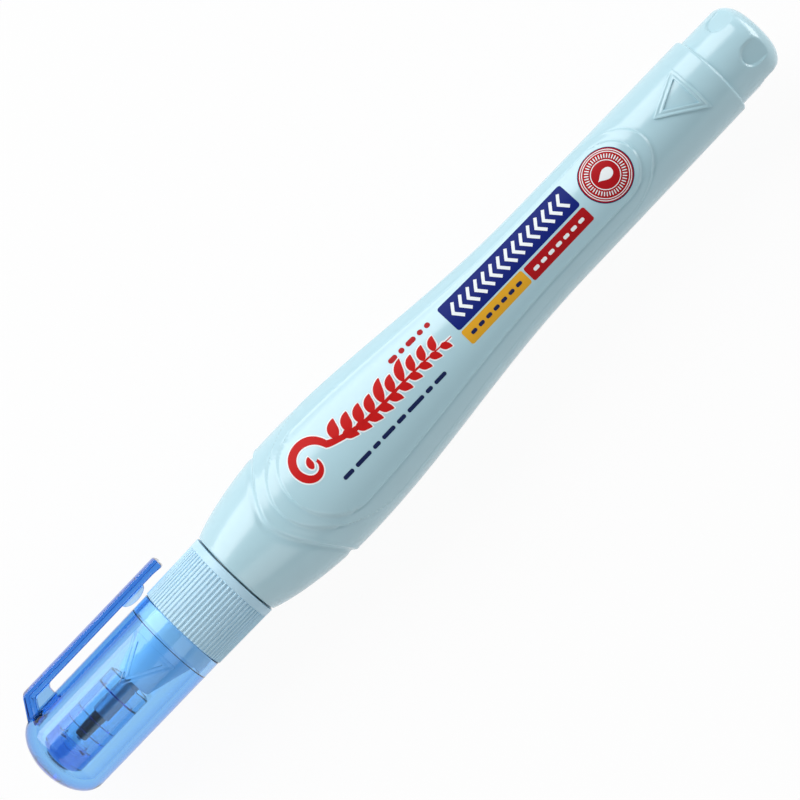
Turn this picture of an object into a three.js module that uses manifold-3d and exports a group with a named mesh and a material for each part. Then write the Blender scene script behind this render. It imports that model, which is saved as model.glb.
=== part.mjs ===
// Correction fluid squeeze pen: a squeeze bottle with a stepped tail, a ribbed tip holder,
// a metal tip with a spring-loaded valve needle, and a clear cap with a clip.
// Millimetres. The pen lies along X with its tip towards -X, its label panel up (+Z)
// and its clip towards +Y. Every x below is measured from the bottle's shoulder face.

import * as THREE from 'three';
import { mergeVertices } from 'three/addons/utils/BufferGeometryUtils.js';
import Module from 'manifold-3d';

const wasm = await Module();
wasm.setup();

// Bottle body: half sizes at the shoulder, the belly and the straight grip
const bodyLength = 97;
const shoulderInset = 0.15;
const bellyAt = 17;
const bellyHalfWidth = 10.07;
const bellyHalfDepth = 8.7;
const bellyRise = 0.72;
const bellyEase = 1.1;
const gripAt = 66;
const gripRadius = 6.85;
const stepRadius = 6.7;
const edgeRound = 0.45;
const bottleWall = 0.9;

// Tail that the cap is posted on
const tailLength = 9;
const tailRadius = 6.1;
const tailFaceRadius = 2.7;
const tailRoundLength = 3;

// Scallops pressed into the rim of the tail
const scallopCount = 5;
const scallopRadius = 1.76;
const scallopAt = 5.4;
const scallopDepth = 0.5;
const scallopClocking = 29;

// Stepped panels moulded on both faces of the bottle
const collarStep = 0.25;
const collarStepAt = 8.2;
const collarStepSweep = 5.7;
const collarStepBend = 1.6;
const outerPanel = {
  from: 10.8,
  to: 83.4,
  frontRound: 14,
  backRound: 9,
  bellyHalf: 9.4,
  gripHalf: 5.9,
  height: 0.3,
};
const labelPanel = {
  from: 13.3,
  to: 81.05,
  frontRound: 7,
  backRound: 5,
  bellyHalf: 7.05,
  gripHalf: 4.25,
  height: 0.28,
};

// Arrow mark: a raised triangular frame that points to the tip
const markLength = 7.2;
const markHalfWidth = 4;
const markBand = 0.95;
const markHeight = 0.25;
const markFromStep = 3.85;
const markApexAside = 0.6;

// Neck that the tip holder snaps over
const neckRadius = 5.3;
const neckWall = 1;
const neckLength = 8.6;
const beadHeight = 0.3;
const beadWidth = 1.2;
const beadFromEnd = 2.2;

// Tip holder: collar, boss for the cap, cone and plug
const shoulderGap = 0.4;
const collarLength = 10.35;
const collarProud = 0.08;
const collarTaper = 0.17;
const collarBand = 1.35;
const ribCount = 66;
const ribDepth = 0.2;
const bossLength = 2.7;
const bossBead = 0.08;
const bossBeadHalf = 0.5;
const bossBeadShare = 0.6;
const coneLength = 7.55;
const coneRearRadius = 4.9;
const coneFrontRadius = 2.8;
const holderEndWall = 2.2;
const plugWall = 0.95;
const plugReach = 1;
const plugLead = 0.4;
const hookBehindBead = 0.3;
const hookSlope = 0.4;
const hookLength = 0.6;
const fitGap = 0.12;

// Metal tip, pressed into the holder from behind
const shankRadius = 1.45;
const shankLength = 6.5;
const shankChamfer = 0.15;
const tipFlangeRadius = 2.35;
const tipFlangeLength = 0.8;
const tipTailLength = 1.5;
const noseLength = 4.2;
const noseRearRadius = 1.1;
const noseFrontRadius = 0.95;
const noseRound = 0.35;
const tipBore = 1;
const orifice = 0.44;
const seatLength = 1.3;
const orificeLength = 3.4;

// Valve needle, spring and spring seat
const pinRadius = 0.36;
const pinProud = 0.4;
const needleStem = 0.68;
const needleFlange = 0.9;
const needleFlangeLength = 0.6;
const guideRadius = 0.45;
const runningGap = 0.09;
const seatGap = 0.18;
const springTurns = 8;
const springPitch = 0.78;
const springWire = 0.26;
const springGap = 0.12;
const seatDiscLength = 1.6;
const seatRoom = 0.6;
const guideTail = 1.4;
const guideLead = 0.2;
const flowSlots = 3;
const flowSlotRadius = 0.42;
const flowSlotOutset = 0.12;

// Mixing ball
const ballRadius = 2.75;
const ballGap = 0.25;
const ballFromTailWall = 1.2;

// Cap
const capGap = 0.1;
const capRadius = 7;
const capMouthWall = 0.85;
const capMouthGap = 0.15;
const capMouthDepth = 2.9;
const capWall = 1.4;
const capEndThickness = 4.8;
const domeLength = 4.4;
const cavityEndWall = 1.4;
const cavityDomeLength = 3.2;
const sleeveRadius = 3.5;
const sleeveRootRadius = 2;
const sleeveRootLength = 0.7;
const sleeveGap = 0.5;
const sleeveMouthRadius = 2.6;
const sleeveMouthDepth = 2.4;
const sleeveDraft = 0.1;
const sleeveBore = 2.15;
const ledgeCount = 3;
const ledgeSpacing = 2.08;
const ledgeStep = 0.23;
const ledgeFromMouth = 4.5;
const boreEndGap = 2;
const capMarkHeight = 0.14;
const capMarkFromMouth = 1.2;

// Clip, moulded in one with the cap and clocked round it
const clipClocking = 8;
const clipStand = 3.05;
const clipPlate = 1;
const clipRib = 0.75;
const clipHalfWidth = 2.2;
const clipRibHalfWidth = 1.9;
const clipCrown = 0.4;
const clipOverhang = 4.5;
const clipEndRound = 0.55;
const clipRootFrom = 3.5;
const clipRootLength = 5.6;
const clipRootSlant = 2.4;
const clipRootHalfWidth = 0.9;
const clipRootRound = 0.9;
const clipShoulderRound = 0.6;
const clipShoulderDrop = 0.9;
const clipRibLap = 0.2;
const clipNubLength = 4.2;
const clipNubHalfWidth = 0.6;
const clipNubGap = 0.37;
const clipNubFromRim = 1.5;

// Broken edges
const fineBreak = 0.15;
const softBreak = 0.3;

// Facets
const bodyFacets = 36;
const boreFacets = 28;
const smallFacets = 20;
const roundSteps = 4;

// Radii that follow the cap's
const collarFrontRadius = capRadius + collarProud;
const collarRearRadius = collarFrontRadius + collarTaper;
const shoulderRadius = collarRearRadius - shoulderInset;
const capMouthRadius = capRadius - capMouthWall;
const bossRadius = capMouthRadius - capMouthGap;
const capCavityRadius = capRadius - capWall;
const clipOuter = capRadius + clipStand;

// Places along the pen, each worked out from the piece behind it
const neckEnd = -neckLength;
const collarRear = -shoulderGap;
const collarFront = collarRear - collarLength;
const bossFront = collarFront - bossLength;
const coneFront = bossFront - coneLength;
const tipFlangeFront = coneFront + holderEndWall;
const tipFlangeRear = tipFlangeFront + tipFlangeLength;
const tipRear = tipFlangeRear + tipTailLength;
const shankFront = coneFront - shankLength;
const tipFront = shankFront - noseLength;
const needleFront = tipFront - pinProud;
const seatFront = tipFront + orificeLength;
const seatRear = seatFront + seatLength;
const seatDiscFront = tipRear + fitGap;
const seatDiscRear = seatDiscFront + seatDiscLength;
const springLength = springTurns * springPitch;
const springFront = seatDiscFront - springGap - springWire - springLength;
const springRadius = tipBore - springGap - springWire / 2;
const flangeRear = springFront - springGap;
const flangeFront = flangeRear - needleFlangeLength;
const needleConeFront = seatFront + seatGap;
const needleConeRear = needleConeFront + (seatLength * (needleStem - pinRadius)) / (tipBore - orifice);
const guideRear = seatDiscRear + guideTail;
const capRim = collarFront - capGap;
const sleeveEnd = coneFront - sleeveGap;
const boreBottom = needleFront - boreEndGap;
const capEnd = boreBottom - capEndThickness;
const tailEnd = bodyLength + tailLength;
const tailWallRadius = tailRadius - bottleWall;
const neckBore = neckRadius - neckWall;
const plugRadius = neckBore - fitGap;
const plugBore = plugRadius - plugWall;
const skirtRadius = neckRadius + beadHeight + fitGap;
const tipSeatRadius = tipFlangeRadius + fitGap;
const capMouthEnd = capRim - capMouthDepth;
const gripDepthRadius = gripRadius + outerPanel.height + labelPanel.height;
const restHeight = Math.max(bellyHalfDepth + outerPanel.height + labelPanel.height, gripDepthRadius);

const radians = (degrees) => (degrees * Math.PI) / 180;
const mix = (a, b, share) => a + (b - a) * share;
const steps = (count) => Array.from({ length: count + 1 }, (_, i) => i / count);

// Half size of the body at x: a quick rise to the belly, then a long cosine ease to the grip
function bodyHalf(x, belly, grip = gripRadius, shoulder = shoulderRadius + collarStep) {
  if (x <= bellyAt) {
    const rise = Math.sin((Math.PI / 2) * Math.max(x, 0) / bellyAt) ** bellyRise;
    return mix(shoulder, belly, rise);
  }
  if (x <= gripAt) {
    const ease = (1 + Math.cos((Math.PI * (x - bellyAt)) / (gripAt - bellyAt))) / 2;
    return mix(grip, belly, ease ** bellyEase);
  }
  return mix(grip, grip * (stepRadius / gripRadius), (x - gripAt) / (bodyLength - gripAt));
}

// Closed loft along X through elliptical rings { x, a, b } with half sizes a in Y and b in Z
function loft(rings, facets) {
  const positions = [];
  const indices = [];
  for (const { x, a, b } of rings) {
    for (let j = 0; j < facets; j++) {
      const angle = (2 * Math.PI * j) / facets;
      positions.push(x, a * Math.cos(angle), b * Math.sin(angle));
    }
  }
  for (let i = 0; i + 1 < rings.length; i++) {
    for (let j = 0; j < facets; j++) {
      const next = (j + 1) % facets;
      const [p, q] = [i * facets + j, i * facets + next];
      indices.push(p, q, q + facets, p, q + facets, p + facets);
    }
  }
  const last = (rings.length - 1) * facets;
  const centres = positions.length / 3;
  positions.push(rings[0].x, 0, 0, rings[rings.length - 1].x, 0, 0);
  for (let j = 0; j < facets; j++) {
    const next = (j + 1) % facets;
    indices.push(centres, next, j, centres + 1, last + j, last + next);
  }
  const geometry = new THREE.BufferGeometry();
  geometry.setAttribute('position', new THREE.Float32BufferAttribute(positions, 3));
  geometry.setIndex(indices);
  return geometry;
}

// Solid turned round the X axis from a profile of [x, radius] points, either way round: a profile
// that starts on the axis ends there too, any other is closed into a ring
function turned(profile, facets = boreFacets) {
  const area = profile.reduce((sum, [x, r], i) => {
    const [nextX, nextR] = profile[(i + 1) % profile.length];
    return sum + x * nextR - nextX * r;
  }, 0);
  const closed = profile[0][1] > 0 ? [...profile, profile[0]] : profile;
  const points = closed.map(([x, r]) => new THREE.Vector2(r < 1e-6 ? 0 : r, x));
  if (area > 0) points.reverse();
  return new THREE.LatheGeometry(points, facets).rotateZ(-Math.PI / 2);
}

// Prism of a closed outline of [x, y] points, standing on z = from
function prism(outline, from, to) {
  const shape = new THREE.Shape(outline.map(([x, y]) => new THREE.Vector2(x, y)));
  return new THREE.ExtrudeGeometry(shape, { depth: to - from, bevelEnabled: false }).translate(0, 0, from);
}

// manifold-3d solid of a geometry, and the geometry of a solid
function solid(geometry) {
  const bare = geometry.index ? geometry.toNonIndexed() : geometry.clone();
  for (const name of Object.keys(bare.attributes)) if (name !== 'position') bare.deleteAttribute(name);
  const merged = mergeVertices(bare, 1e-4);
  const corners = merged.index.array;
  const faces = [];
  for (let i = 0; i < corners.length; i += 3) {
    const [p, q, r] = corners.slice(i, i + 3);
    if (p !== q && q !== r && r !== p) faces.push(p, q, r);
  }
  return new wasm.Manifold(
    new wasm.Mesh({
      numProp: 3,
      vertProperties: merged.attributes.position.array,
      triVerts: new Uint32Array(faces),
    }),
  );
}

function geometryOf(made) {
  const mesh = made.getMesh();
  const geometry = new THREE.BufferGeometry();
  geometry.setAttribute('position', new THREE.BufferAttribute(mesh.vertProperties, 3));
  geometry.setIndex(new THREE.BufferAttribute(mesh.triVerts, 1));
  return geometry;
}

// Bottle

// Stations along the body: close together where the outline turns fastest
function bodyStations(from, to) {
  const front = steps(8).map((u) => bellyAt * u ** 1.6);
  const rear = steps(9).map((u) => mix(bellyAt, gripAt, u));
  const all = [...new Set([from, ...front, ...rear, to])];
  return all.filter((x) => x >= from && x <= to).sort((p, q) => p - q);
}

// The body's rings between two stations, grown all round by an offset
function bodyRings(from, to, grow) {
  return bodyStations(from, to).map((x) => ({
    x,
    a: bodyHalf(x, bellyHalfWidth) + grow,
    b: bodyHalf(x, bellyHalfDepth) + grow,
  }));
}

// Tail rings: straight, then an elliptical corner down to the flat end face
function tailRings(radius, faceRadius, end, roundLength) {
  const corner = steps(roundSteps).map((u) => ({
    x: end - roundLength * (1 - Math.sin((Math.PI / 2) * u)),
    r: mix(faceRadius, radius, Math.cos((Math.PI / 2) * u)),
  }));
  return corner.map(({ x, r }) => ({ x, a: r, b: r }));
}

// Outline of a panel seen from above: the panel follows the body and has elliptical ends
function panelOutline({ from, to, frontRound, backRound, bellyHalf, gripHalf }) {
  const half = (x) => bodyHalf(x, bellyHalf, gripHalf, bellyHalf);
  const frontX = steps(7).map((u) => from + frontRound * (1 - Math.cos((Math.PI / 2) * u)));
  const middleX = steps(8).slice(1, -1).map((u) => mix(from + frontRound, to - backRound, u));
  const backX = steps(6).map((u) => to - backRound * (1 - Math.sin((Math.PI / 2) * u)));
  const side = [...frontX, ...middleX, ...backX].map((x) => {
    const front = Math.max(0, (from + frontRound - x) / frontRound);
    const back = Math.max(0, (x - to + backRound) / backRound);
    return [x, half(x) * Math.sqrt(Math.max(0, 1 - Math.max(front, back) ** 2))];
  });
  const lower = side.slice(1, -1).map(([x, y]) => [x, -y]);
  return [...side.reverse(), ...lower];
}

// Outline of everything behind the step that sweeps back from the face to the sides
function sweptOutline(reach) {
  const curve = steps(16).map((u) => {
    const y = mix(-bellyHalfWidth, bellyHalfWidth, u);
    return [collarStepAt + collarStepSweep * Math.abs(y / bellyHalfWidth) ** collarStepBend, y];
  });
  const side = collarStepAt + collarStepSweep;
  return [[reach, -reach], [reach, reach], [side, reach], ...curve.reverse(), [side, -reach]];
}

// Triangular frame in the XY plane that points to -X; its apex lies at x = 0, set aside of its middle
function arrowFrame(length, halfWidth, band, aside) {
  const slope = Math.hypot(length, halfWidth) / halfWidth;
  const innerApex = band * slope;
  const innerBase = length - band;
  const innerHalf = ((innerBase - innerApex) * halfWidth) / length;
  const asideAt = (x) => aside * (1 - x / length);
  const corner = (x, y) => new THREE.Vector2(x, y + asideAt(x));
  const shape = new THREE.Shape([corner(0, 0), corner(length, -halfWidth), corner(length, halfWidth)]);
  shape.holes.push(
    new THREE.Path([corner(innerApex, 0), corner(innerBase, innerHalf), corner(innerBase, -innerHalf)]),
  );
  return shape;
}

function arrowPrism(apexX, aside, from, to) {
  const shape = arrowFrame(markLength, markHalfWidth, markBand, aside);
  const geometry = new THREE.ExtrudeGeometry(shape, { depth: to - from, bevelEnabled: false });
  return geometry.translate(apexX, 0, from);
}

// Cavity: neck bore, flare, body less its wall, tail less its wall
function cavity() {
  const inset = collarStep + bottleWall;
  const flareEnd = 3;
  const bore = { a: neckBore, b: neckBore };
  const bodyEnd = bodyLength - bottleWall;
  const rear = tailEnd - bottleWall;
  return loft(
    [
      { x: neckEnd - 1, ...bore },
      { x: bottleWall, ...bore },
      ...bodyRings(flareEnd, bodyEnd - bottleWall, -inset).filter((_, i) => i % 2 === 0),
      { x: bodyEnd, a: tailWallRadius, b: tailWallRadius },
      ...tailRings(tailWallRadius, tailFaceRadius, rear, tailRoundLength),
    ],
    24,
  );
}

function scallop(clocking) {
  const reach = tailLength;
  const outline = new THREE.Shape();
  outline.absarc(0, 0, scallopRadius, Math.PI / 2, (3 * Math.PI) / 2, false);
  outline.lineTo(reach, -scallopRadius);
  outline.lineTo(reach, scallopRadius);
  return new THREE.ExtrudeGeometry(outline, { depth: tailRadius, bevelEnabled: false, curveSegments: 8 })
    .translate(bodyLength + scallopAt, 0, tailRadius - scallopDepth)
    .rotateX(radians(clocking));
}

function bottleGeometry() {
  const front = { x: 0, a: shoulderRadius, b: shoulderRadius };
  const stepEdge = steps(3).map((u) => {
    const r = stepRadius - edgeRound * (1 - Math.cos((Math.PI / 2) * u));
    return { x: bodyLength - edgeRound * (1 - Math.sin((Math.PI / 2) * u)), a: r, b: r };
  });
  const mainRings = [
    ...bodyRings(collarStepAt / 2, bodyLength - edgeRound, 0).slice(0, -1),
    ...stepEdge,
    { x: bodyLength, a: tailRadius, b: tailRadius },
    ...tailRings(tailRadius, tailFaceRadius, tailEnd, tailRoundLength),
  ];
  const shoulderEnd = collarStepAt + collarStepSweep + 2;
  const shoulder = solid(loft([front, ...bodyRings(softBreak, shoulderEnd, -collarStep)], bodyFacets));
  const main = solid(loft(mainRings, bodyFacets)).intersect(
    solid(prism(sweptOutline(tailEnd + 5), -bellyHalfWidth, bellyHalfWidth)),
  );
  const raised = [
    [outerPanel, outerPanel.height],
    [labelPanel, outerPanel.height + labelPanel.height],
  ].map(([panel, height]) => {
    const grown = solid(loft(bodyRings(panel.from - 1, panel.to + 1, height), bodyFacets));
    return grown.intersect(solid(prism(panelOutline(panel), -bellyHalfWidth, bellyHalfWidth)));
  });
  const markApex = bodyLength - markFromStep - markLength;
  const markSkin = solid(loft(bodyRings(markApex - 1, bodyLength - 1, markHeight), bodyFacets));
  const frame = arrowPrism(markApex, markApexAside, gripRadius / 2, gripRadius * 2);
  const mark = solid(frame).intersect(markSkin);
  const beadAt = neckEnd + beadFromEnd;
  const neck = solid(
    turned([
      [neckEnd, 0],
      [neckEnd, neckRadius],
      [beadAt, neckRadius],
      [beadAt + beadWidth / 2, neckRadius + beadHeight],
      [beadAt + beadWidth, neckRadius],
      [bottleWall, neckRadius],
      [bottleWall, 0],
    ]),
  );
  let made = [main, ...raised, mark, neck].reduce((sum, piece) => sum.add(piece), shoulder);
  made = made.subtract(solid(cavity()));
  for (let i = 0; i < scallopCount; i++) {
    made = made.subtract(solid(scallop(scallopClocking + (360 * i) / scallopCount)));
  }
  return geometryOf(made);
}

// Tip holder

// Ribbed sleeve round the collar: each rib is a flat crest between two flat valleys
function ribbedCollar() {
  const front = collarFront;
  const rear = collarRear - collarBand;
  const frontCrest = collarFrontRadius;
  const rearCrest = mix(collarRearRadius, collarFrontRadius, collarBand / collarLength);
  const samples = ribCount * 4;
  const ring = (x, crest) =>
    Array.from({ length: samples }, (_, j) => {
      const radius = j % 4 < 2 ? crest : crest - ribDepth;
      const angle = (2 * Math.PI * j) / samples;
      return [x, radius * Math.cos(angle), radius * Math.sin(angle)];
    });
  const positions = [...ring(front, frontCrest), ...ring(rear, rearCrest), [front, 0, 0], [rear, 0, 0]];
  const indices = [];
  for (let j = 0; j < samples; j++) {
    const next = (j + 1) % samples;
    indices.push(j, next, next + samples, j, next + samples, j + samples);
    indices.push(2 * samples, next, j, 2 * samples + 1, samples + j, samples + next);
  }
  const geometry = new THREE.BufferGeometry();
  geometry.setAttribute('position', new THREE.Float32BufferAttribute(positions.flat(), 3));
  geometry.setIndex(indices);
  return geometry;
}

function holderGeometry() {
  const bandFront = collarRear - collarBand;
  const bandRadius = mix(collarRearRadius, collarFrontRadius, collarBand / collarLength);
  const beadAt = mix(collarFront, bossFront, bossBeadShare);
  const band = solid(
    turned([
      [bandFront, 0],
      [bandFront, bandRadius],
      [collarRear - fineBreak, collarRearRadius],
      [collarRear, collarRearRadius - fineBreak],
      [collarRear, 0],
    ], ribCount),
  );
  const boss = solid(
    turned([
      [bandFront, 0],
      [bandFront, bossRadius],
      [beadAt + bossBeadHalf, bossRadius],
      [beadAt, bossRadius + bossBead],
      [beadAt - bossBeadHalf, bossRadius],
      [bossFront + softBreak, bossRadius],
      [bossFront, bossRadius - softBreak],
      [bossFront, coneRearRadius],
      [coneFront + softBreak, coneFrontRadius],
      [coneFront, coneFrontRadius - softBreak],
      [coneFront, 0],
    ], bodyFacets),
  );
  const plug = solid(
    turned([
      [collarFront, 0],
      [collarFront, plugRadius],
      [plugReach - plugLead, plugRadius],
      [plugReach, plugRadius - plugLead],
      [plugReach, 0],
    ]),
  );
  const skirtDepth = neckEnd - fitGap;
  const neckBeadAt = neckEnd + beadFromEnd;
  const hookAt = neckBeadAt + beadWidth + hookBehindBead;
  const hookRadius = neckRadius + fitGap;
  const skirt = solid(
    turned([
      [skirtDepth, plugRadius],
      [skirtDepth, skirtRadius],
      [hookAt, skirtRadius],
      [hookAt + hookSlope, hookRadius],
      [hookAt + hookSlope + hookLength, hookRadius],
      [hookAt + 2 * hookSlope + hookLength, skirtRadius],
      [collarRear + 1, skirtRadius],
      [collarRear + 1, plugRadius],
    ]),
  );
  const channel = solid(
    turned([
      [coneFront - 1, 0],
      [coneFront - 1, shankRadius + fitGap],
      [tipFlangeFront, shankRadius + fitGap],
      [tipFlangeFront, tipSeatRadius],
      [seatDiscRear + seatRoom, tipSeatRadius],
      [seatDiscRear + seatRoom + plugBore - tipSeatRadius, plugBore],
      [plugReach + 1, plugBore],
      [plugReach + 1, 0],
    ]),
  );
  const outer = solid(ribbedCollar()).add(band).add(boss);
  return geometryOf(outer.subtract(skirt).add(plug).subtract(channel));
}

// Metal tip: shank and slimmer rounded nose outside, bore and valve seat inside
function tipGeometry() {
  const nose = steps(3).map((u) => [
    tipFront + noseRound * (1 - Math.cos((Math.PI / 2) * u)),
    noseFrontRadius - noseRound * (1 - Math.sin((Math.PI / 2) * u)),
  ]);
  return turned([
    [tipFront, orifice],
    ...nose,
    [shankFront, noseRearRadius],
    [shankFront, shankRadius - shankChamfer],
    [shankFront + shankChamfer, shankRadius],
    [tipFlangeFront + fitGap, shankRadius],
    [tipFlangeFront + fitGap, tipFlangeRadius],
    [tipFlangeRear, tipFlangeRadius],
    [tipFlangeRear, shankRadius],
    [tipRear, shankRadius],
    [tipRear, tipBore],
    [seatRear, tipBore],
    [seatFront, orifice],
  ], boreFacets);
}

// Valve needle: rounded pin, sealing cone, stem, spring flange and guide
function needleGeometry() {
  const nose = steps(3).map((u) => [
    needleFront + pinRadius * (1 - Math.cos((Math.PI / 2) * u)),
    pinRadius * Math.sin((Math.PI / 2) * u),
  ]);
  return turned([
    ...nose,
    [needleConeFront, pinRadius],
    [needleConeRear, needleStem],
    [flangeFront, needleStem],
    [flangeFront, needleFlange],
    [flangeRear, needleFlange],
    [flangeRear, guideRadius],
    [guideRear - guideLead, guideRadius],
    [guideRear, guideRadius - guideLead],
    [guideRear, 0],
  ], smallFacets);
}

// Coil spring: one unbroken five-sided wire, eight steps a turn
function springGeometry() {
  const sides = 5;
  const stepsPerTurn = 8;
  const centre = (turn) => {
    const angle = 2 * Math.PI * turn;
    return new THREE.Vector3(
      springFront + springWire / 2 + springPitch * turn,
      springRadius * Math.cos(angle),
      springRadius * Math.sin(angle),
    );
  };
  const rings = springTurns * stepsPerTurn;
  const positions = [];
  const indices = [];
  for (let i = 0; i <= rings; i++) {
    const turn = i / stepsPerTurn;
    const angle = 2 * Math.PI * turn;
    const middle = centre(turn);
    const outward = new THREE.Vector3(0, Math.cos(angle), Math.sin(angle));
    const along = new THREE.Vector3(1, 0, 0);
    for (let j = 0; j < sides; j++) {
      const turnAngle = (2 * Math.PI * j) / sides;
      const point = middle
        .clone()
        .addScaledVector(outward, (springWire / 2) * Math.cos(turnAngle))
        .addScaledVector(along, (springWire / 2) * Math.sin(turnAngle));
      positions.push(point.x, point.y, point.z);
    }
  }
  for (let i = 0; i < rings; i++) {
    for (let j = 0; j < sides; j++) {
      const next = (j + 1) % sides;
      const [p, q] = [i * sides + j, i * sides + next];
      indices.push(p, q + sides, q, p, p + sides, q + sides);
    }
  }
  const last = rings * sides;
  for (let j = 1; j + 1 < sides; j++) {
    indices.push(0, j, j + 1, last, last + j + 1, last + j);
  }
  const geometry = new THREE.BufferGeometry();
  geometry.setAttribute('position', new THREE.Float32BufferAttribute(positions, 3));
  geometry.setIndex(indices);
  console.log(`spring: ${springTurns} turns, gap between turns ${(springPitch - springWire).toFixed(2)} mm`);
  return geometry;
}

// Spring seat: a disc behind the metal tip with a guide hole and flow slots
function springSeatGeometry() {
  const guideBore = guideRadius + runningGap;
  const front = seatDiscFront;
  let disc = solid(
    turned([
      [front, guideBore],
      [front, tipFlangeRadius],
      [seatDiscRear, tipFlangeRadius],
      [seatDiscRear, guideBore],
    ]),
  );
  const slotMiddle = tipBore + flowSlotOutset;
  for (let i = 0; i < flowSlots; i++) {
    const slot = new THREE.CylinderGeometry(flowSlotRadius, flowSlotRadius, seatDiscLength * 2, 12)
      .rotateZ(Math.PI / 2)
      .translate((front + seatDiscRear) / 2, slotMiddle, 0)
      .rotateX((2 * Math.PI * i) / flowSlots);
    disc = disc.subtract(solid(slot));
  }
  return geometryOf(disc);
}

// Cap

// Seal sleeve bore, from the mouth inwards: each ledge draws the bore in by one step
const ledgeAt = (i) => sleeveEnd - ledgeFromMouth - sleeveMouthDepth - ledgeSpacing * i;
const ledgeRadius = (i) => sleeveBore - ledgeStep * i;

function capShell() {
  const dome = steps(6).map((u) => [
    capEnd + domeLength * (1 - Math.cos((Math.PI / 2) * u)),
    capRadius * Math.sin((Math.PI / 2) * u),
  ]);
  const cavityEnd = capEnd + cavityEndWall;
  const rootAngle = Math.asin(sleeveRootRadius / capCavityRadius);
  const cavityDome = steps(3).map((u) => {
    const angle = mix(Math.PI / 2, rootAngle, u);
    return [cavityEnd + cavityDomeLength * (1 - Math.cos(angle)), capCavityRadius * Math.sin(angle)];
  });
  const rootRound = sleeveRadius - sleeveRootRadius;
  const sleeveRoot = steps(2).map((u) => [
    cavityEnd + sleeveRootLength + rootRound * (1 - Math.cos((Math.PI / 2) * u)),
    sleeveRootRadius + rootRound * Math.sin((Math.PI / 2) * u),
  ]);
  const ledges = Array.from({ length: ledgeCount }, (_, i) => [
    [ledgeAt(i), ledgeRadius(i)],
    [ledgeAt(i) - fineBreak, ledgeRadius(i + 1)],
  ]).flat();
  const endRadius = ledgeRadius(ledgeCount);
  const boreEnd = steps(4).map((u) => [
    boreBottom + endRadius * (1 - Math.sin((Math.PI / 2) * u)),
    endRadius * Math.cos((Math.PI / 2) * u),
  ]);
  return turned([
    ...dome,
    [capRim - fineBreak, capRadius],
    [capRim, capRadius - fineBreak],
    [capRim, capMouthRadius + fineBreak],
    [capRim - fineBreak, capMouthRadius],
    [capMouthEnd, capMouthRadius],
    [capMouthEnd - softBreak, capCavityRadius],
    ...cavityDome,
    ...sleeveRoot,
    [sleeveEnd - softBreak, sleeveRadius],
    [sleeveEnd, sleeveRadius - softBreak],
    [sleeveEnd, sleeveMouthRadius],
    [sleeveEnd - sleeveMouthDepth, sleeveMouthRadius - sleeveDraft],
    [sleeveEnd - sleeveMouthDepth - fineBreak, sleeveBore],
    ...ledges,
    ...boreEnd,
  ], bodyFacets);
}

// Side view of the clip with x along the pen and y outward from the pen's axis: the plate bends down to
// the dome as a strap, the bars under it fill the whole root
function clipSide(inner, outer, withRoot) {
  const end = capRim + clipOverhang;
  const rootFoot = capEnd + clipRootFrom;
  const rootTop = rootFoot + clipRootSlant;
  const rootRear = rootFoot + clipRootLength;
  const foot = capRadius - capWall / 2;
  const outline = new THREE.Shape();
  outline.moveTo(rootTop + clipShoulderRound, outer);
  outline.quadraticCurveTo(rootTop, outer, rootTop - clipShoulderRound, outer - clipShoulderDrop);
  outline.lineTo(rootFoot, foot);
  if (withRoot) {
    outline.lineTo(rootRear, foot);
    outline.lineTo(rootRear, inner - clipRootRound);
    outline.quadraticCurveTo(rootRear, inner, rootRear + clipRootRound, inner);
  } else {
    const strapX = (clipPlate * Math.hypot(clipRootSlant, outer - foot)) / (outer - foot);
    outline.lineTo(rootFoot + strapX, foot);
    outline.lineTo(rootFoot + strapX + (clipRootSlant * (inner - foot)) / (outer - foot), inner);
  }
  const round = Math.min(clipEndRound, 0.45 * (outer - inner));
  outline.lineTo(end - round, inner);
  outline.quadraticCurveTo(end, inner, end, inner + round);
  outline.lineTo(end, outer - round);
  outline.quadraticCurveTo(end, outer, end - round, outer);
  return outline;
}

function clipBar(outline, halfWidth) {
  return solid(
    new THREE.ExtrudeGeometry(outline, { depth: 2 * halfWidth, bevelEnabled: false, curveSegments: 4 })
      .translate(0, 0, -halfWidth),
  );
}

// Crowned bar that trims the clip's outer face
function clipCrownBar() {
  const radius = (clipHalfWidth ** 2 + clipCrown ** 2) / (2 * clipCrown);
  const half = Math.asin(clipHalfWidth / radius);
  const crown = steps(6).map((u) => {
    const angle = mix(-half, half, u);
    return [radius * Math.sin(angle), clipOuter - radius * (1 - Math.cos(angle))];
  });
  const shape = new THREE.Shape(
    [[-clipHalfWidth, 0], [clipHalfWidth, 0], ...crown.reverse()].map(([z, y]) => new THREE.Vector2(z, y)),
  );
  const length = capRim + clipOverhang - capEnd + 2;
  return solid(
    new THREE.ExtrudeGeometry(shape, { depth: length, bevelEnabled: false })
      .rotateY(Math.PI / 2)
      .translate(capEnd - 1, 0, 0),
  );
}

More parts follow.
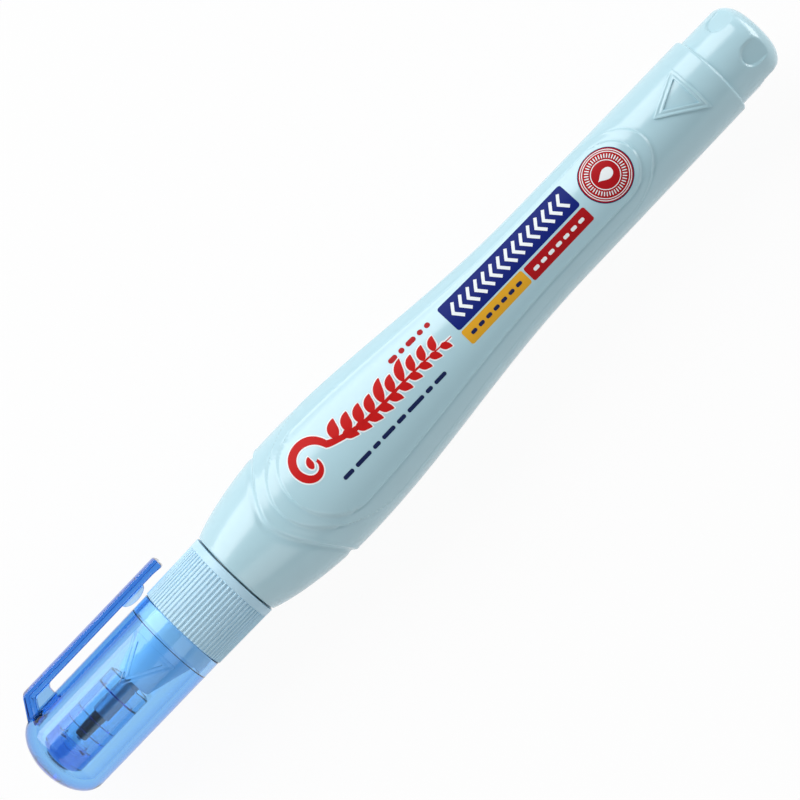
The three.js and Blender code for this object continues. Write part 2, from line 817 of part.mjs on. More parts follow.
function clipSolid() {
  const plateInner = clipOuter - clipPlate;
  const ribInner = plateInner - clipRib;
  const plate = clipBar(clipSide(plateInner, clipOuter, false), clipHalfWidth).intersect(clipCrownBar());
  const rib = clipBar(clipSide(ribInner, plateInner + clipRibLap, false), clipRibHalfWidth);
  const rootBlock = clipBar(clipSide(ribInner, clipOuter - clipCrown, true), clipRootHalfWidth);
  const nubDepth = ribInner - capRadius - clipNubGap;
  const nubRadius = ((clipNubLength / 2) ** 2 + nubDepth ** 2) / (2 * nubDepth);
  const nub = solid(
    new THREE.CylinderGeometry(nubRadius, nubRadius, 2 * clipNubHalfWidth, 48)
      .rotateX(Math.PI / 2)
      .translate(capRim - clipNubFromRim, ribInner - nubDepth + nubRadius, 0),
  ).intersect(
    solid(new THREE.BoxGeometry(clipNubLength, nubDepth + clipRib, 2 * clipNubHalfWidth)
      .translate(capRim - clipNubFromRim, ribInner + (clipRib - nubDepth) / 2, 0)),
  );
  return [rib, rootBlock, nub].reduce((sum, piece) => sum.add(piece), plate);
}

function capGeometry() {
  const markApex = capMouthEnd - capMarkFromMouth - markLength;
  const markSkin = solid(
    turned([
      [markApex - 1, 0],
      [markApex - 1, capRadius + capMarkHeight],
      [capRim, capRadius + capMarkHeight],
      [capRim, 0],
    ], bodyFacets),
  );
  const mark = solid(arrowPrism(markApex, 0, capRadius / 2, capRadius * 2))
    .intersect(markSkin)
    .subtract(solid(turned([
      [markApex - 2, 0],
      [markApex - 2, capRadius - capMarkHeight],
      [capRim + 1, capRadius - capMarkHeight],
      [capRim + 1, 0],
    ], bodyFacets)));
  return geometryOf(solid(capShell()).add(clipSolid()).add(mark));
}

// Assembly

const material = (color, roughness, metalness = 0, opacity = 1) =>
  new THREE.MeshStandardMaterial({ color, roughness, metalness, opacity, transparent: opacity < 1 });
const whitePlastic = material(0xd3e4ea, 0.3);
const holderPlastic = material(0xc6e2ef, 0.4);
const cleanSteel = material(0xb9bcc2, 0.25, 1);
const springSteel = material(0x9a9da3, 0.35, 1);
const naturalPlastic = material(0xe6e8e4, 0.45);
const bluePlastic = material(0x4f86e8, 0.08, 0, 0.45);

function piece(name, geometry, finish) {
  const mesh = new THREE.Mesh(geometry, finish);
  mesh.name = name;
  return mesh;
}

const ball = piece('mixing_ball', new THREE.SphereGeometry(ballRadius, 20, 12), cleanSteel);
ball.position.set(
  tailEnd - bottleWall - ballFromTailWall - ballRadius,
  0,
  -(tailWallRadius - ballRadius - ballGap),
);

const cap = new THREE.Group();
cap.rotation.x = radians(clipClocking);
cap.add(piece('cap', capGeometry(), bluePlastic));

const pen = new THREE.Group();
pen.position.set(-(capEnd + tailEnd) / 2, 0, restHeight);
pen.add(
  piece('squeeze_bottle', bottleGeometry(), whitePlastic),
  piece('tip_holder', holderGeometry(), holderPlastic),
  piece('metal_tip', tipGeometry(), cleanSteel),
  piece('valve_needle', needleGeometry(), cleanSteel),
  piece('valve_spring', springGeometry(), springSteel),
  piece('spring_seat', springSeatGeometry(), naturalPlastic),
  ball,
  cap,
);

export default pen;
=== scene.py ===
"""Squeeze correction pen, dressed for its picture: pieces, finishes, studio and camera.

The pen lies along X with its tip towards -X, its label face up and its clip towards +Y. Sizes in the
classes are in millimetres in the pen's own datum: x runs from the bottle's shoulder face, y and z from
the pen's axis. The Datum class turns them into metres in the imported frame.
"""

import logging
import math
from dataclasses import dataclass
from enum import Enum
from typing import Callable, Sequence

import bmesh
import bpy
import numpy as np
from mathutils import Matrix, Vector


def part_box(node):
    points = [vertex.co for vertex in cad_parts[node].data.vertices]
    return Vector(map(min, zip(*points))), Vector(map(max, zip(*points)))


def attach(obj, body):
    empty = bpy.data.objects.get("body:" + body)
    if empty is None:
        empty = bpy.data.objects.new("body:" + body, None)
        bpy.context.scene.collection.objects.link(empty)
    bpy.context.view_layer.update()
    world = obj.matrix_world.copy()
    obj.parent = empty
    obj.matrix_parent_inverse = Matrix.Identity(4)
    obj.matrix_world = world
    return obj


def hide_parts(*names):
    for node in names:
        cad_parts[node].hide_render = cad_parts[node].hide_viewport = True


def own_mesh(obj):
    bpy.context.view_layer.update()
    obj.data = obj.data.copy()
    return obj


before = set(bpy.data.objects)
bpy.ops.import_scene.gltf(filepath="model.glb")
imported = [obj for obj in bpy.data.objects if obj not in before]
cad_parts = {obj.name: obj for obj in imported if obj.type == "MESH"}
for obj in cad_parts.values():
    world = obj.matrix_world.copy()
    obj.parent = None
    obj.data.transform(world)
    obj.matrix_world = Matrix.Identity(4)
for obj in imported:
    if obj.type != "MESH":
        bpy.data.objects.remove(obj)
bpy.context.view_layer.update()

LOG = logging.getLogger("correction_pen")

MM = 1000.0  # millimetres in a metre
TURN = 2 * math.pi
WHITE = (1.0, 1.0, 1.0, 1.0)
NECK_LENGTH = 8.6  # of the bottle's neck, in front of its shoulder face

Pair = tuple[float, float]
Profile = list[Pair]
Colour = tuple[float, float, float]
Piece = bpy.types.Object
Socket = bpy.types.NodeSocket
Tree = bpy.types.NodeTree
Material = bpy.types.Material


class Body(str, Enum):
    """The pen's moving bodies, as the frame names them."""

    PEN = "pen"
    CAP = "cap"
    NEEDLE = "needle"


class Slot(str, Enum):
    """The record's material slots."""

    BOTTLE = "bottle_plastic"
    HOLDER = "holder_plastic"
    TIP = "tip_steel"
    NEEDLE = "needle_steel"
    SPRING = "spring_steel"
    CAP = "clear_blue_plastic"


class Ink(Enum):
    """The label's inks, as linear colours."""

    BLUE = (0.006, 0.016, 0.17)
    NAVY = (0.01, 0.018, 0.08)
    AMBER = (0.72, 0.37, 0.025)
    RED = (0.4, 0.008, 0.012)
    SCARLET = (0.52, 0.01, 0.01)
    WHITE = (0.8, 0.85, 0.87)


@dataclass(frozen=True)
class Datum:
    """Where the pen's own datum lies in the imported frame.

    Args:
        shoulder_x: x of the bottle's shoulder face in the frame, in metres.
        axis_z: height of the pen's axis in the frame, in metres.
    """

    shoulder_x: float
    axis_z: float

    @classmethod
    def from_frame(cls) -> "Datum":
        """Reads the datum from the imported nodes."""
        tip_low, tip_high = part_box("metal_tip")
        return cls(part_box("squeeze_bottle")[0].x + NECK_LENGTH / MM, (tip_low.z + tip_high.z) / 2)

    def place(self, points: np.ndarray) -> np.ndarray:
        """Turns points in the pen's datum, in millimetres, into metres in the frame."""
        return np.asarray(points, float) / MM + np.array([self.shoulder_x, 0.0, self.axis_z])


def smoothstep(value: np.ndarray) -> np.ndarray:
    """Eases 0 to 1 with flat ends."""
    held = np.clip(value, 0.0, 1.0)
    return held * held * (3 - 2 * held)


def hump(value: np.ndarray, middle: float, width: float) -> np.ndarray:
    """Bell curve of height 1 round a middle."""
    return np.exp(-(((value - middle) / width) ** 2))


def arc_steps(count: int) -> np.ndarray:
    """Angles of a quarter turn in equal steps."""
    return np.linspace(0.0, math.pi / 2, count + 1)


def rounded(outline: Profile, radii: dict[int, float], steps: int = 5) -> Profile:
    """Rounds chosen corners of an outline and keeps the flats beside them flat.

    Args:
        outline: corner points in order.
        radii: fillet radius by corner index; other corners and both ends stay sharp.
        steps: arc steps of each fillet.

    Returns:
        The outline with arcs in place of those corners.
    """
    side_share, support = 0.45, 0.04
    made: Profile = []
    for index, corner in enumerate(outline):
        if index not in radii:
            made.append(corner)
            continue
        here = np.array(corner)
        sides = [np.array(outline[index + way]) - here for way in (-1, 1)]
        lengths = [float(np.linalg.norm(side)) for side in sides]
        before, after = (side / length for side, length in zip(sides, lengths))
        half = math.acos(float(np.clip(np.dot(before, after), -1, 1))) / 2
        reach = min(radii[index] / math.tan(half), *(side_share * length for length in lengths))
        bisector = (before + after) / np.linalg.norm(before + after)
        centre = here + bisector * reach / math.cos(half)
        start, end = here + before * reach - centre, here + after * reach - centre
        if reach + support < side_share * lengths[0]:
            made.append(tuple(here + before * (reach + support)))
        share, turn = np.linspace(0, 1, steps + 1)[:, None], math.pi - 2 * half
        arc = (np.sin((1 - share) * turn) * start + np.sin(share * turn) * end) / math.sin(turn)
        made += [tuple(point) for point in centre + arc]
        if reach + support < side_share * lengths[1]:
            made.append(tuple(here + after * (reach + support)))
    return made


def link(name: str, data: bpy.types.ID) -> Piece:
    """Puts data into the scene as an object.

    Args:
        name: the object's name.
        data: its mesh, light or camera.

    Returns:
        The object.
    """
    made = bpy.data.objects.new(name, data)
    bpy.context.scene.collection.objects.link(made)
    return made


def crisp(mesh: bpy.types.Mesh, angle: float) -> None:
    """Shades a mesh smooth, but for edges that turn by more than an angle in degrees."""
    mesh.shade_smooth()
    mesh.set_sharp_from_angle(angle=math.radians(angle))


def link_mesh(name: str, vertices: np.ndarray, faces: Sequence, sharp: float = 32.0) -> Piece:
    """Makes an object from placed vertices and faces.

    Args:
        name: the piece's name.
        vertices: rows of x, y, z in metres in the frame.
        faces: vertex indices of each face.
        sharp: edges that turn by more than this many degrees stay crisp.

    Returns:
        The linked object, with its faces pointing out.
    """
    mesh = bpy.data.meshes.new(name)
    mesh.from_pydata(np.asarray(vertices).tolist(), [], [list(face) for face in faces])
    mesh.validate()
    shell = bmesh.new()
    shell.from_mesh(mesh)
    bmesh.ops.remove_doubles(shell, verts=shell.verts, dist=1e-8)
    bmesh.ops.recalc_face_normals(shell, faces=shell.faces)
    shell.to_mesh(mesh)
    shell.free()
    crisp(mesh, sharp)
    return link(name, mesh)


def ring_grid(x: np.ndarray, turn: np.ndarray, wide: np.ndarray, deep: np.ndarray) -> np.ndarray:
    """Array of rings by columns by 3 from places, angles and half sizes in y and z."""
    x, turn, wide, deep = np.broadcast_arrays(x, turn, wide, deep)
    return np.stack([x, wide * np.cos(turn), deep * np.sin(turn)], -1)


def ring_faces(rings: int, columns: int) -> list[tuple[int, ...]]:
    """Quads between neighbouring closed rings of equal column count.

    Args:
        rings: number of rings.
        columns: number of points in each.

    Returns:
        Four vertex indices for each quad.
    """
    ring, column = np.meshgrid(np.arange(rings - 1), np.arange(columns), indexing="ij")
    following = (column + 1) % columns
    near, far = ring * columns, (ring + 1) * columns
    quads = np.stack([near + column, near + following, far + following, far + column], -1)
    return [tuple(quad) for quad in quads.reshape(-1, 4).tolist()]


def layered(name: str, datum: Datum, layers: np.ndarray) -> Piece:
    """Closes a stack of equal outlines into a piece with a flat face at each end.

    Args:
        name: the piece's name.
        datum: where the pen lies.
        layers: array of layers by points by 3, in millimetres.

    Returns:
        The closed piece.
    """
    count, points = layers.shape[:2]
    ends = [tuple(range(points)), tuple(range(count * points - 1, (count - 1) * points - 1, -1))]
    return link_mesh(name, datum.place(layers.reshape(-1, 3)), ring_faces(count, points) + ends)


def poled(name: str, datum: Datum, grid: np.ndarray, poles: Pair, sharp: float = 32.0) -> Piece:
    """Closes a stack of rings with a pole on the axis at each end.

    Args:
        name: the piece's name.
        datum: where the pen lies.
        grid: array of rings by columns by 3, in millimetres.
        poles: x of the first and the last pole.
        sharp: edges that turn by more than this many degrees stay crisp.

    Returns:
        The closed piece.
    """
    rings, columns = grid.shape[:2]
    vertices = np.vstack([grid.reshape(-1, 3), [(x, 0.0, 0.0) for x in poles]])
    faces = ring_faces(rings, columns)
    first, last = rings * columns, (rings - 1) * columns
    for column in range(columns):
        following = (column + 1) % columns
        faces += [(first, following, column), (first + 1, last + column, last + following)]
    return link_mesh(name, datum.place(vertices), faces, sharp)


def revolved(name: str, datum: Datum, profile: Profile, facets: int) -> Piece:
    """Turns a profile of x, radius points round the pen's axis into a closed piece.

    Args:
        name: the piece's name.
        datum: where the pen lies.
        profile: points from axis to axis, or a loop clear of the axis.
        facets: facets round the axis.

    Returns:
        The piece.
    """
    on_axis = profile[0][1] < 1e-6
    inner = np.array(profile[1:-1] if on_axis else [*profile, profile[0]])
    angles = np.linspace(0, TURN, facets, endpoint=False)
    grid = ring_grid(inner[:, :1], angles, inner[:, 1:], inner[:, 1:])
    if on_axis:
        return poled(name, datum, grid, (profile[0][0], profile[-1][0]))
    return link_mesh(name, datum.place(grid.reshape(-1, 3)), ring_faces(len(inner), facets))


def extruded(
    name: str, datum: Datum, outline: Profile, half_width: float, crown: float = 0.0, crown_from: float = 0.0
) -> Piece:
    """Extrudes a side outline of x, y points evenly to both sides of the axis plane.

    Args:
        name: the piece's name.
        datum: where the pen lies.
        outline: corner points in order.
        half_width: half the piece's size along z.
        crown: how far its outer face falls away towards the sides.
        crown_from: y below which nothing falls away.

    Returns:
        The closed piece.
    """
    x, y = np.array(outline).T
    share = np.clip((y - crown_from) / (y.max() - crown_from), 0, 1)
    layers = [
        np.column_stack([x, y - crown * share * (z / half_width) ** 2, np.full(len(x), z)])
        for z in np.linspace(-half_width, half_width, 25 if crown else 2)
    ]
    return layered(name, datum, np.stack(layers))


def baked(piece: Piece) -> Piece:
    """Turns a piece and its modifiers into a plain mesh, and gives the same object back.

    Args:
        piece: the piece.

    Returns:
        The same object, without modifiers.
    """
    depsgraph = bpy.context.evaluated_depsgraph_get()
    depsgraph.update()
    result = bpy.data.meshes.new_from_object(piece.evaluated_get(depsgraph))
    piece.modifiers.clear()
    piece.data = result
    return piece


def bevelled(piece: Piece, width: float, segments: int = 3) -> Piece:
    """Rounds a closed piece's crisp edges.

    Args:
        piece: the closed piece.
        width: bevel width in millimetres.
        segments: steps across the bevel.

    Returns:
        The same object, bevelled.
    """
    bevel = piece.modifiers.new("edges", "BEVEL")
    bevel.width, bevel.segments = width / MM, segments
    bevel.limit_method, bevel.angle_limit = "ANGLE", math.radians(40)
    return baked(piece)


def joined(base: Piece, others: Sequence[Piece], cut: bool = False) -> Piece:
    """Joins closed pieces to a base as one closed shell, or cuts them out of it.

    Args:
        base: the piece that stays.
        others: the pieces that are used up.
        cut: True to cut the others away.

    Returns:
        The base piece.
    """
    for other in others:
        step = base.modifiers.new("join", "BOOLEAN")
        step.operation = "DIFFERENCE" if cut else "UNION"
        step.solver, step.object = "MANIFOLD", other
        baked(base)
        bpy.data.objects.remove(other)
    return base


def merged(name: str, parts: Sequence[Piece]) -> Piece:
    """Puts several pieces of one material into one object.

    Args:
        name: the new piece's name.
        parts: the pieces, which are used up.

    Returns:
        The piece.
    """
    shell = bmesh.new()
    for part in parts:
        shell.from_mesh(part.data)
        bpy.data.objects.remove(part)
    mesh = bpy.data.meshes.new(name)
    shell.to_mesh(mesh)
    shell.free()
    crisp(mesh, 60.0)
    return link(name, mesh)


def dressed(piece: Piece, body: Body, slot: Slot, material: Material, *nodes: str) -> Piece:
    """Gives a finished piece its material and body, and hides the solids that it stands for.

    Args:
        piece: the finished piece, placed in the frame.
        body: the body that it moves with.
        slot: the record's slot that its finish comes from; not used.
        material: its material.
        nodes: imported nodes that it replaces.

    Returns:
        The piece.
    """
    piece.data.materials.clear()
    piece.data.materials.append(material)
    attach(piece, body.value)
    if nodes:
        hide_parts(*nodes)
    LOG.info("%s: %d faces on %s", piece.name, len(piece.data.polygons), body.value)
    return piece


class NodeCanvas:
    """A node tree that is being wired, for shaders and for geometry alike."""

    def __init__(self, tree: Tree) -> None:
        """Starts on a tree."""
        self.tree = tree

    def add(self, kind: str, inputs: dict | None = None, **settings: object) -> bpy.types.Node:
        """Adds a node.

        Args:
            kind: the node's type name.
            inputs: value or output socket for each input, by name or index.
            settings: properties set on the node first.

        Returns:
            The node.
        """
        node = self.tree.nodes.new(kind)
        for key, value in settings.items():
            setattr(node, key, value)
        for key, value in (inputs or {}).items():
            if isinstance(value, Socket):
                self.tree.links.new(value, node.inputs[key])
            else:
                node.inputs[key].default_value = value
        return node

    def out(self, kind: str, inputs: dict | None = None, **settings: object) -> Socket:
        """Adds a node as add() does, and gives its first output."""
        return self.add(kind, inputs, **settings).outputs[0]

    def math(self, operation: str, *values: object) -> Socket:
        """Adds a math node on numbers or sockets, and gives its value."""
        return self.out("ShaderNodeMath", dict(enumerate(values)), operation=operation)

    def vector(self, x: object = 0.0, y: object = 0.0, z: object = 0.0) -> Socket:
        """Adds a vector of three numbers or sockets."""
        return self.out("ShaderNodeCombineXYZ", {0: x, 1: y, 2: z})

    def noise(self, place: Socket, scale: object, detail: float) -> Socket:
        """Adds a noise, and gives its value."""
        return self.out("ShaderNodeTexNoise", {"Vector": place, "Scale": scale, "Detail": detail})


class CopyTree(NodeCanvas):
    """A geometry tree that sets copies of one form round a circle.

    Args:
        name: the tree's name.
        count: number of copies.
        sizes: its float inputs, in metres.
    """

    def __init__(self, name: str, count: int, sizes: dict[str, float]) -> None:
        """Starts the tree, with its inputs and its output.

        Args:
            name: the tree's name.
            count: number of copies.
            sizes: its float inputs, in metres.
        """
        super().__init__(bpy.data.node_groups.new(name, "GeometryNodeTree"))
        sockets = self.tree.interface
        sockets.new_socket("Piece", in_out="OUTPUT", socket_type="NodeSocketGeometry")
        self.values = {}
        for key, value in {**sizes, "Count": count}.items():
            kind = "NodeSocketInt" if key == "Count" else "NodeSocketFloat"
            self.values[sockets.new_socket(key, in_out="INPUT", socket_type=kind).identifier] = value
        self.given = self.add("NodeGroupInput").outputs
        step = self.math("DIVIDE", TURN, self.given["Count"])
        self.angle = self.math("MULTIPLY", self.out("GeometryNodeInputIndex"), step)

    def copies(self, form: Socket, rotation: Socket, position: Socket | None = None) -> Socket:
        """Sets the copies.

        Args:
            form: the geometry that is copied.
            rotation: each copy's rotation.
            position: each copy's place, or None for the origin.

        Returns:
            The copies as real geometry.
        """
        points = self.out("GeometryNodePoints", {"Count": self.given["Count"]})
        if position is not None:
            points = self.out("GeometryNodeSetPosition", {"Geometry": points, "Position": position})
        placed = {"Points": points, "Instance": form, "Rotation": rotation}
        copies = self.out("GeometryNodeInstanceOnPoints", placed)
        return self.out("GeometryNodeRealizeInstances", {"Geometry": copies})

    def piece(self, name: str, geometry: Socket, material: Material) -> Piece:
        """Ends the tree with a material.

        Args:
            name: the piece's name.
            geometry: the finished geometry.
            material: its material.

        Returns:
            All the copies as one piece.
        """
        painted = self.out("GeometryNodeSetMaterial", {"Geometry": geometry, "Material": material})
        self.add("NodeGroupOutput", {"Piece": painted})
        piece = link(name, bpy.data.meshes.new(name))
        modifier = piece.modifiers.new("copies", "NODES")
        modifier.node_group = self.tree
        for identifier, value in self.values.items():
            modifier[identifier] = value
        return baked(piece)


def surface_group(name: str, defaults: dict[str, float]) -> Tree:
    """Starts a shared surface group with outputs Colour, Roughness and Height.

    Args:
        name: the group's name.
        defaults: its float inputs, which come after the input Colour.

    Returns:
        The group.
    """
    group = bpy.data.node_groups.new(name, "ShaderNodeTree")
    sockets = group.interface
    sockets.new_socket("Colour", in_out="INPUT", socket_type="NodeSocketColor")
    for key, value in defaults.items():
        sockets.new_socket(key, in_out="INPUT", socket_type="NodeSocketFloat").default_value = value
    sockets.new_socket("Colour", in_out="OUTPUT", socket_type="NodeSocketColor")
    for key in ("Roughness", "Height"):
        sockets.new_socket(key, in_out="OUTPUT", socket_type="NodeSocketFloat")
    return group


def moulded_surface_group() -> Tree:
    """Builds the shared surface of moulded plastic: slow tone drift, flow haze and fine scuffs.

    Returns:
        The group.
    """
    defaults = {"Tone Drift": 0.03, "Gloss": 0.3, "Gloss Drift": 0.05, "Grain Size": 900.0, "Scuff": 0.1}
    group = surface_group("moulded_surface", defaults)
    canvas = NodeCanvas(group)
    given = canvas.add("NodeGroupInput").outputs
    place = canvas.add("ShaderNodeTexCoord").outputs["Object"]
    grain = canvas.noise(place, given["Grain Size"], 2.0)
    stretched = canvas.out("ShaderNodeMapping", {"Vector": place, "Scale": (60.0, 900.0, 900.0)})
    scuffs = canvas.noise(stretched, 1.6, 4.0)
    scuffed = canvas.out("ShaderNodeMapRange", {"Value": scuffs, "From Min": 0.62, "From Max": 0.78})
    swing = canvas.math("SUBTRACT", canvas.noise(place, 70.0, 3.0), 0.5)
    tone = canvas.math("MULTIPLY_ADD", swing, given["Tone Drift"], 1.0)
    shade = canvas.out("ShaderNodeVectorMath", {0: given["Colour"], 3: tone}, operation="SCALE")
    haze = canvas.math("MULTIPLY_ADD", swing, given["Gloss Drift"], given["Gloss"])
    worn = canvas.math("MULTIPLY_ADD", scuffed, given["Scuff"], haze)
    height = canvas.math("MULTIPLY_ADD", scuffed, -0.1, grain)
    canvas.add("NodeGroupOutput", {"Colour": shade, "Roughness": worn, "Height": height})
    return group


def turned_marks_group() -> Tree:
    """Builds the shared surface of turned and drawn metal: fine rings round the axis and dull patches.

    Returns:
        The group.
    """
    group = surface_group("turned_marks", {"Gloss": 0.25})
    canvas = NodeCanvas(group)
    given = canvas.add("NodeGroupInput").outputs
    place = canvas.add("ShaderNodeTexCoord").outputs["Object"]
    along = canvas.out("ShaderNodeMapping", {"Vector": place, "Scale": (9000.0, 40.0, 40.0)})
    swing = canvas.math("SUBTRACT", canvas.noise(place, 600.0, 2.0), 0.5)
    rough = canvas.math("MULTIPLY_ADD", swing, 0.15, given["Gloss"])
    tone = canvas.math("MULTIPLY_ADD", swing, 0.12, 1.0)
    shade = canvas.out("ShaderNodeVectorMath", {0: given["Colour"], 3: tone}, operation="SCALE")
    marks = canvas.noise(along, 1.0, 3.0)
    canvas.add("NodeGroupOutput", {"Colour": shade, "Roughness": rough, "Height": marks})
    return group


def new_material(name: str) -> tuple[Material, NodeCanvas]:
    """Starts a material with an empty tree, and gives it with its canvas.

    Args:
        name: the material's name.

    Returns:
        The material and the canvas on its tree.
    """
    material = bpy.data.materials.new(name)
    material.use_nodes = True
    material.node_tree.nodes.clear()
    return material, NodeCanvas(material.node_tree)


def surfaced(name: str, group: Tree, given: dict[str, object], bump: Pair, look: dict) -> Material:
    """Builds an opaque material on a shared surface group.

    Args:
        name: the material's name.
        group: the shared surface group.
        given: the group's inputs.
        bump: height of its relief in millimetres, and the bump's strength.
        look: further inputs of the shader.

    Returns:
        The material.
    """
    material, canvas = new_material(name)
    skin = canvas.add("ShaderNodeGroup", given, node_tree=group).outputs
    relief = {"Height": skin["Height"], "Distance": bump[0] / MM, "Strength": bump[1]}
    inputs = {
        "Base Color": skin["Colour"],
        "Roughness": skin["Roughness"],
        "Normal": canvas.out("ShaderNodeBump", relief),
        **look,
    }
    canvas.add("ShaderNodeOutputMaterial", {"Surface": canvas.out("ShaderNodeBsdfPrincipled", inputs)})
    return material


@dataclass(frozen=True)
class MouldedPlastic:
    """An opaque moulded plastic.

    Args:
        name: the material's name.
        colour: its linear colour.
        gloss: mean roughness.
        tone_drift: how far the tone drifts over the surface.
        gloss_drift: how far the roughness drifts.
        grain: height of the fine grain, in millimetres.
        scuff: how much rougher the fine scuffs are.
        shine: strength of its mirror reflection, 0.5 for plain plastic.
        bend: refractive index.
    """

    name: str
    colour: Colour
    gloss: float
    tone_drift: float = 0.05
    gloss_drift: float = 0.08
    grain: float = 0.0006
    scuff: float = 0.05
    shine: float = 0.5
    bend: float = 1.49

    def build(self, surface: Tree) -> Material:
        """Builds the material on the shared moulded surface group.

        Args:
            surface: the shared group.

        Returns:
            The material.
        """
        given = {
            "Colour": (*self.colour, 1.0),
            "Tone Drift": self.tone_drift,
            "Gloss": self.gloss,
            "Gloss Drift": self.gloss_drift,
            "Scuff": self.scuff,
        }
        look = {"IOR": self.bend, "Specular IOR Level": self.shine}
        return surfaced(self.name, surface, given, (self.grain, 1.0), look)


@dataclass(frozen=True)
class TurnedMetal:
    """A turned or drawn metal with fine rings round the pen's axis.

    Args:
        name: the material's name.
        colour: its linear colour.
        gloss: mean roughness.
        ring_height: depth of the tool marks, in millimetres.
    """

    name: str
    colour: Colour
    gloss: float
    ring_height: float = 0.001

    def build(self, marks: Tree) -> Material:
        """Builds the material on the shared turned marks group."""
        given = {"Colour": (*self.colour, 1.0), "Gloss": self.gloss}
        return surfaced(self.name, marks, given, (self.ring_height, 0.6), {"Metallic": 1.0})


@dataclass(frozen=True)
class ClearPlastic:
    """A clear tinted plastic whose colour deepens with the light's way through it, and whose skin carries
    painted shade where it is seen edge-on.

    Args:
        name: the material's name.
        tint: linear colour that one millimetre of it lets through.
        rim: painted edge shade, the colour that the skin's tint turns towards where it is seen edge-on.
        axis_z: height of the pen's axis, in metres.
        core: radius about the axis inside which the painted edge shade is left out, in metres.
        gloss: roughness.
        bend: refractive index.
        ripple: height of its slow surface waves, in metres.
        shadow: share of light that goes on through one skin to what lies in its shadow.
    """

    name: str
    tint: Colour
    rim: Colour = (0.09, 0.41, 0.89)
    axis_z: float = 0.0
    core: float = 0.0
    gloss: float = 0.02
    bend: float = 1.55
    ripple: float = 0.00003
    shadow: Colour = (0.94, 0.97, 1.0)

    def build(self) -> Material:
        """Builds the material: a tinted glass skin round an absorbing body, with painted shade on the skin
        where it is seen edge-on.

        Returns:
            The material.
        """
        material, canvas = new_material(self.name)
        place = canvas.add("ShaderNodeTexCoord").outputs["Object"]
        waves = {"Height": canvas.noise(place, 140.0, 1.0), "Distance": self.ripple, "Strength": 0.25}
        # Painted edge shade: where the skin is seen edge-on, outside the core radius, its tint turns towards
        # the rim colour.
        edge_on = canvas.add("ShaderNodeLayerWeight", {"Blend": 0.5}).outputs["Facing"]
        share = canvas.out("ShaderNodeMapRange", {"Value": edge_on, "From Min": 0.36, "From Max": 0.95})
        across = {"Vector": place, "Location": (0, 0, -self.axis_z), "Scale": (0, 1, 1)}
        across = {0: canvas.out("ShaderNodeMapping", across)}
        away = canvas.add("ShaderNodeVectorMath", across, operation="LENGTH").outputs["Value"]
        outer = {"Value": away, "From Min": self.core, "From Max": self.core + 0.001}
        share = canvas.math("MULTIPLY", share, canvas.out("ShaderNodeMapRange", outer))
        mix = {"Factor": share, "A": WHITE, "B": (*self.rim, 1.0)}
        glass = {
            "Base Color": canvas.add("ShaderNodeMix", mix, data_type="RGBA").outputs["Result"],
            "Roughness": self.gloss,
            "IOR": self.bend,
            "Transmission Weight": 1.0,
            "Normal": canvas.out("ShaderNodeBump", waves),
        }
        losses = [-math.log(kept) * MM for kept in self.tint]
        density = max(losses) / 0.95
        body = {"Color": (*(1 - loss / density for loss in losses), 1.0), "Density": density}
        ways = {
            0: canvas.add("ShaderNodeLightPath").outputs["Is Shadow Ray"],
            1: canvas.out("ShaderNodeBsdfPrincipled", glass),
            2: canvas.out("ShaderNodeBsdfTransparent", {"Color": (*self.shadow, 1.0)}),
        }
        ends = {
            "Surface": canvas.out("ShaderNodeMixShader", ways),
            "Volume": canvas.out("ShaderNodeVolumeAbsorption", body),
        }
        canvas.add("ShaderNodeOutputMaterial", ends)
        return material


@dataclass
class ArrowMark:
    """A raised triangular frame that points to the tip, with a shallow channel along its top.

    Args:
        name: the piece's name.
        datum: where the pen lies.
        drape: gives the surface's points from x, y and a lift.
        base: x of its base side.
        height: how far it stands above the surface.
        apex_aside: y of its apex.
        length: its length.
        half_width: half its base side.
        band: width of its sides.
    """

    name: str
    datum: Datum
    drape: Callable
    base: float
    height: float
    apex_aside: float = 0.0
    length: float = 7.2
    half_width: float = 4.0
    band: float = 0.95

    def loop(self, inset: float) -> np.ndarray:
        """Outline of the triangle drawn in by an inset, with rounded corners.

        Args:
            inset: how far every side is drawn in.

        Returns:
            Rows of x, y; every inset gives the same number of rows.
        """
        apex = (self.base - self.length, self.apex_aside)
        corners = np.array([apex, (self.base, -self.half_width), (self.base, self.half_width)])
        opposite = np.linalg.norm(np.roll(corners, -1, 0) - np.roll(corners, 1, 0), axis=1)
        centre = opposite @ corners / opposite.sum()
        first, second = corners[1] - corners[0], corners[2] - corners[0]
        inner_radius = abs(first[0] * second[1] - first[1] * second[0]) / opposite.sum()
        corners = centre + (corners - centre) * (1 - inset / inner_radius)
        fillet = 0.5 - 0.25 * inset / self.band
        share = np.linspace(0, 1, 7)[:, None]
        rounds = []
        for index, here in enumerate(corners):
            sides = [corners[index - 1] - here, corners[(index + 1) % 3] - here]
            start, end = (here + side * fillet / np.linalg.norm(side) for side in sides)
            rounds.append((1 - share) ** 2 * start + 2 * share * (1 - share) * here + share**2 * end)
        rows = []
        for index, curve in enumerate(rounds):
            way = rounds[(index + 1) % 3][0] - curve[-1]
            rows += [curve, curve[-1] + way * np.linspace(0, 1, 16)[1:-1, None]]
        return np.concatenate(rows)

    def build(self) -> Piece:
        """Builds the closed frame: a low skirt, a soft edge, and the channel in its middle.

        Returns:
            The frame.
        """
        slope, sunk = 0.3 * self.height, -0.1
        edge = [(0.0, sunk / self.height), (0.02, 0.55), (0.25 * slope, 0.86), (slope, 1.0)]
        half = edge + [(0.32 * self.band, 0.97), (0.44 * self.band, 0.62)]
        rings = []
        for inset, level in half + [(self.band - inset, level) for inset, level in reversed(half)]:
            x, y = self.loop(inset).T
            rings.append(self.drape(x, y, level * self.height))
        vertices = self.datum.place(np.vstack([*rings, rings[0]]))
        return link_mesh(self.name, vertices, ring_faces(len(rings) + 1, len(rings[0])), sharp=50.0)


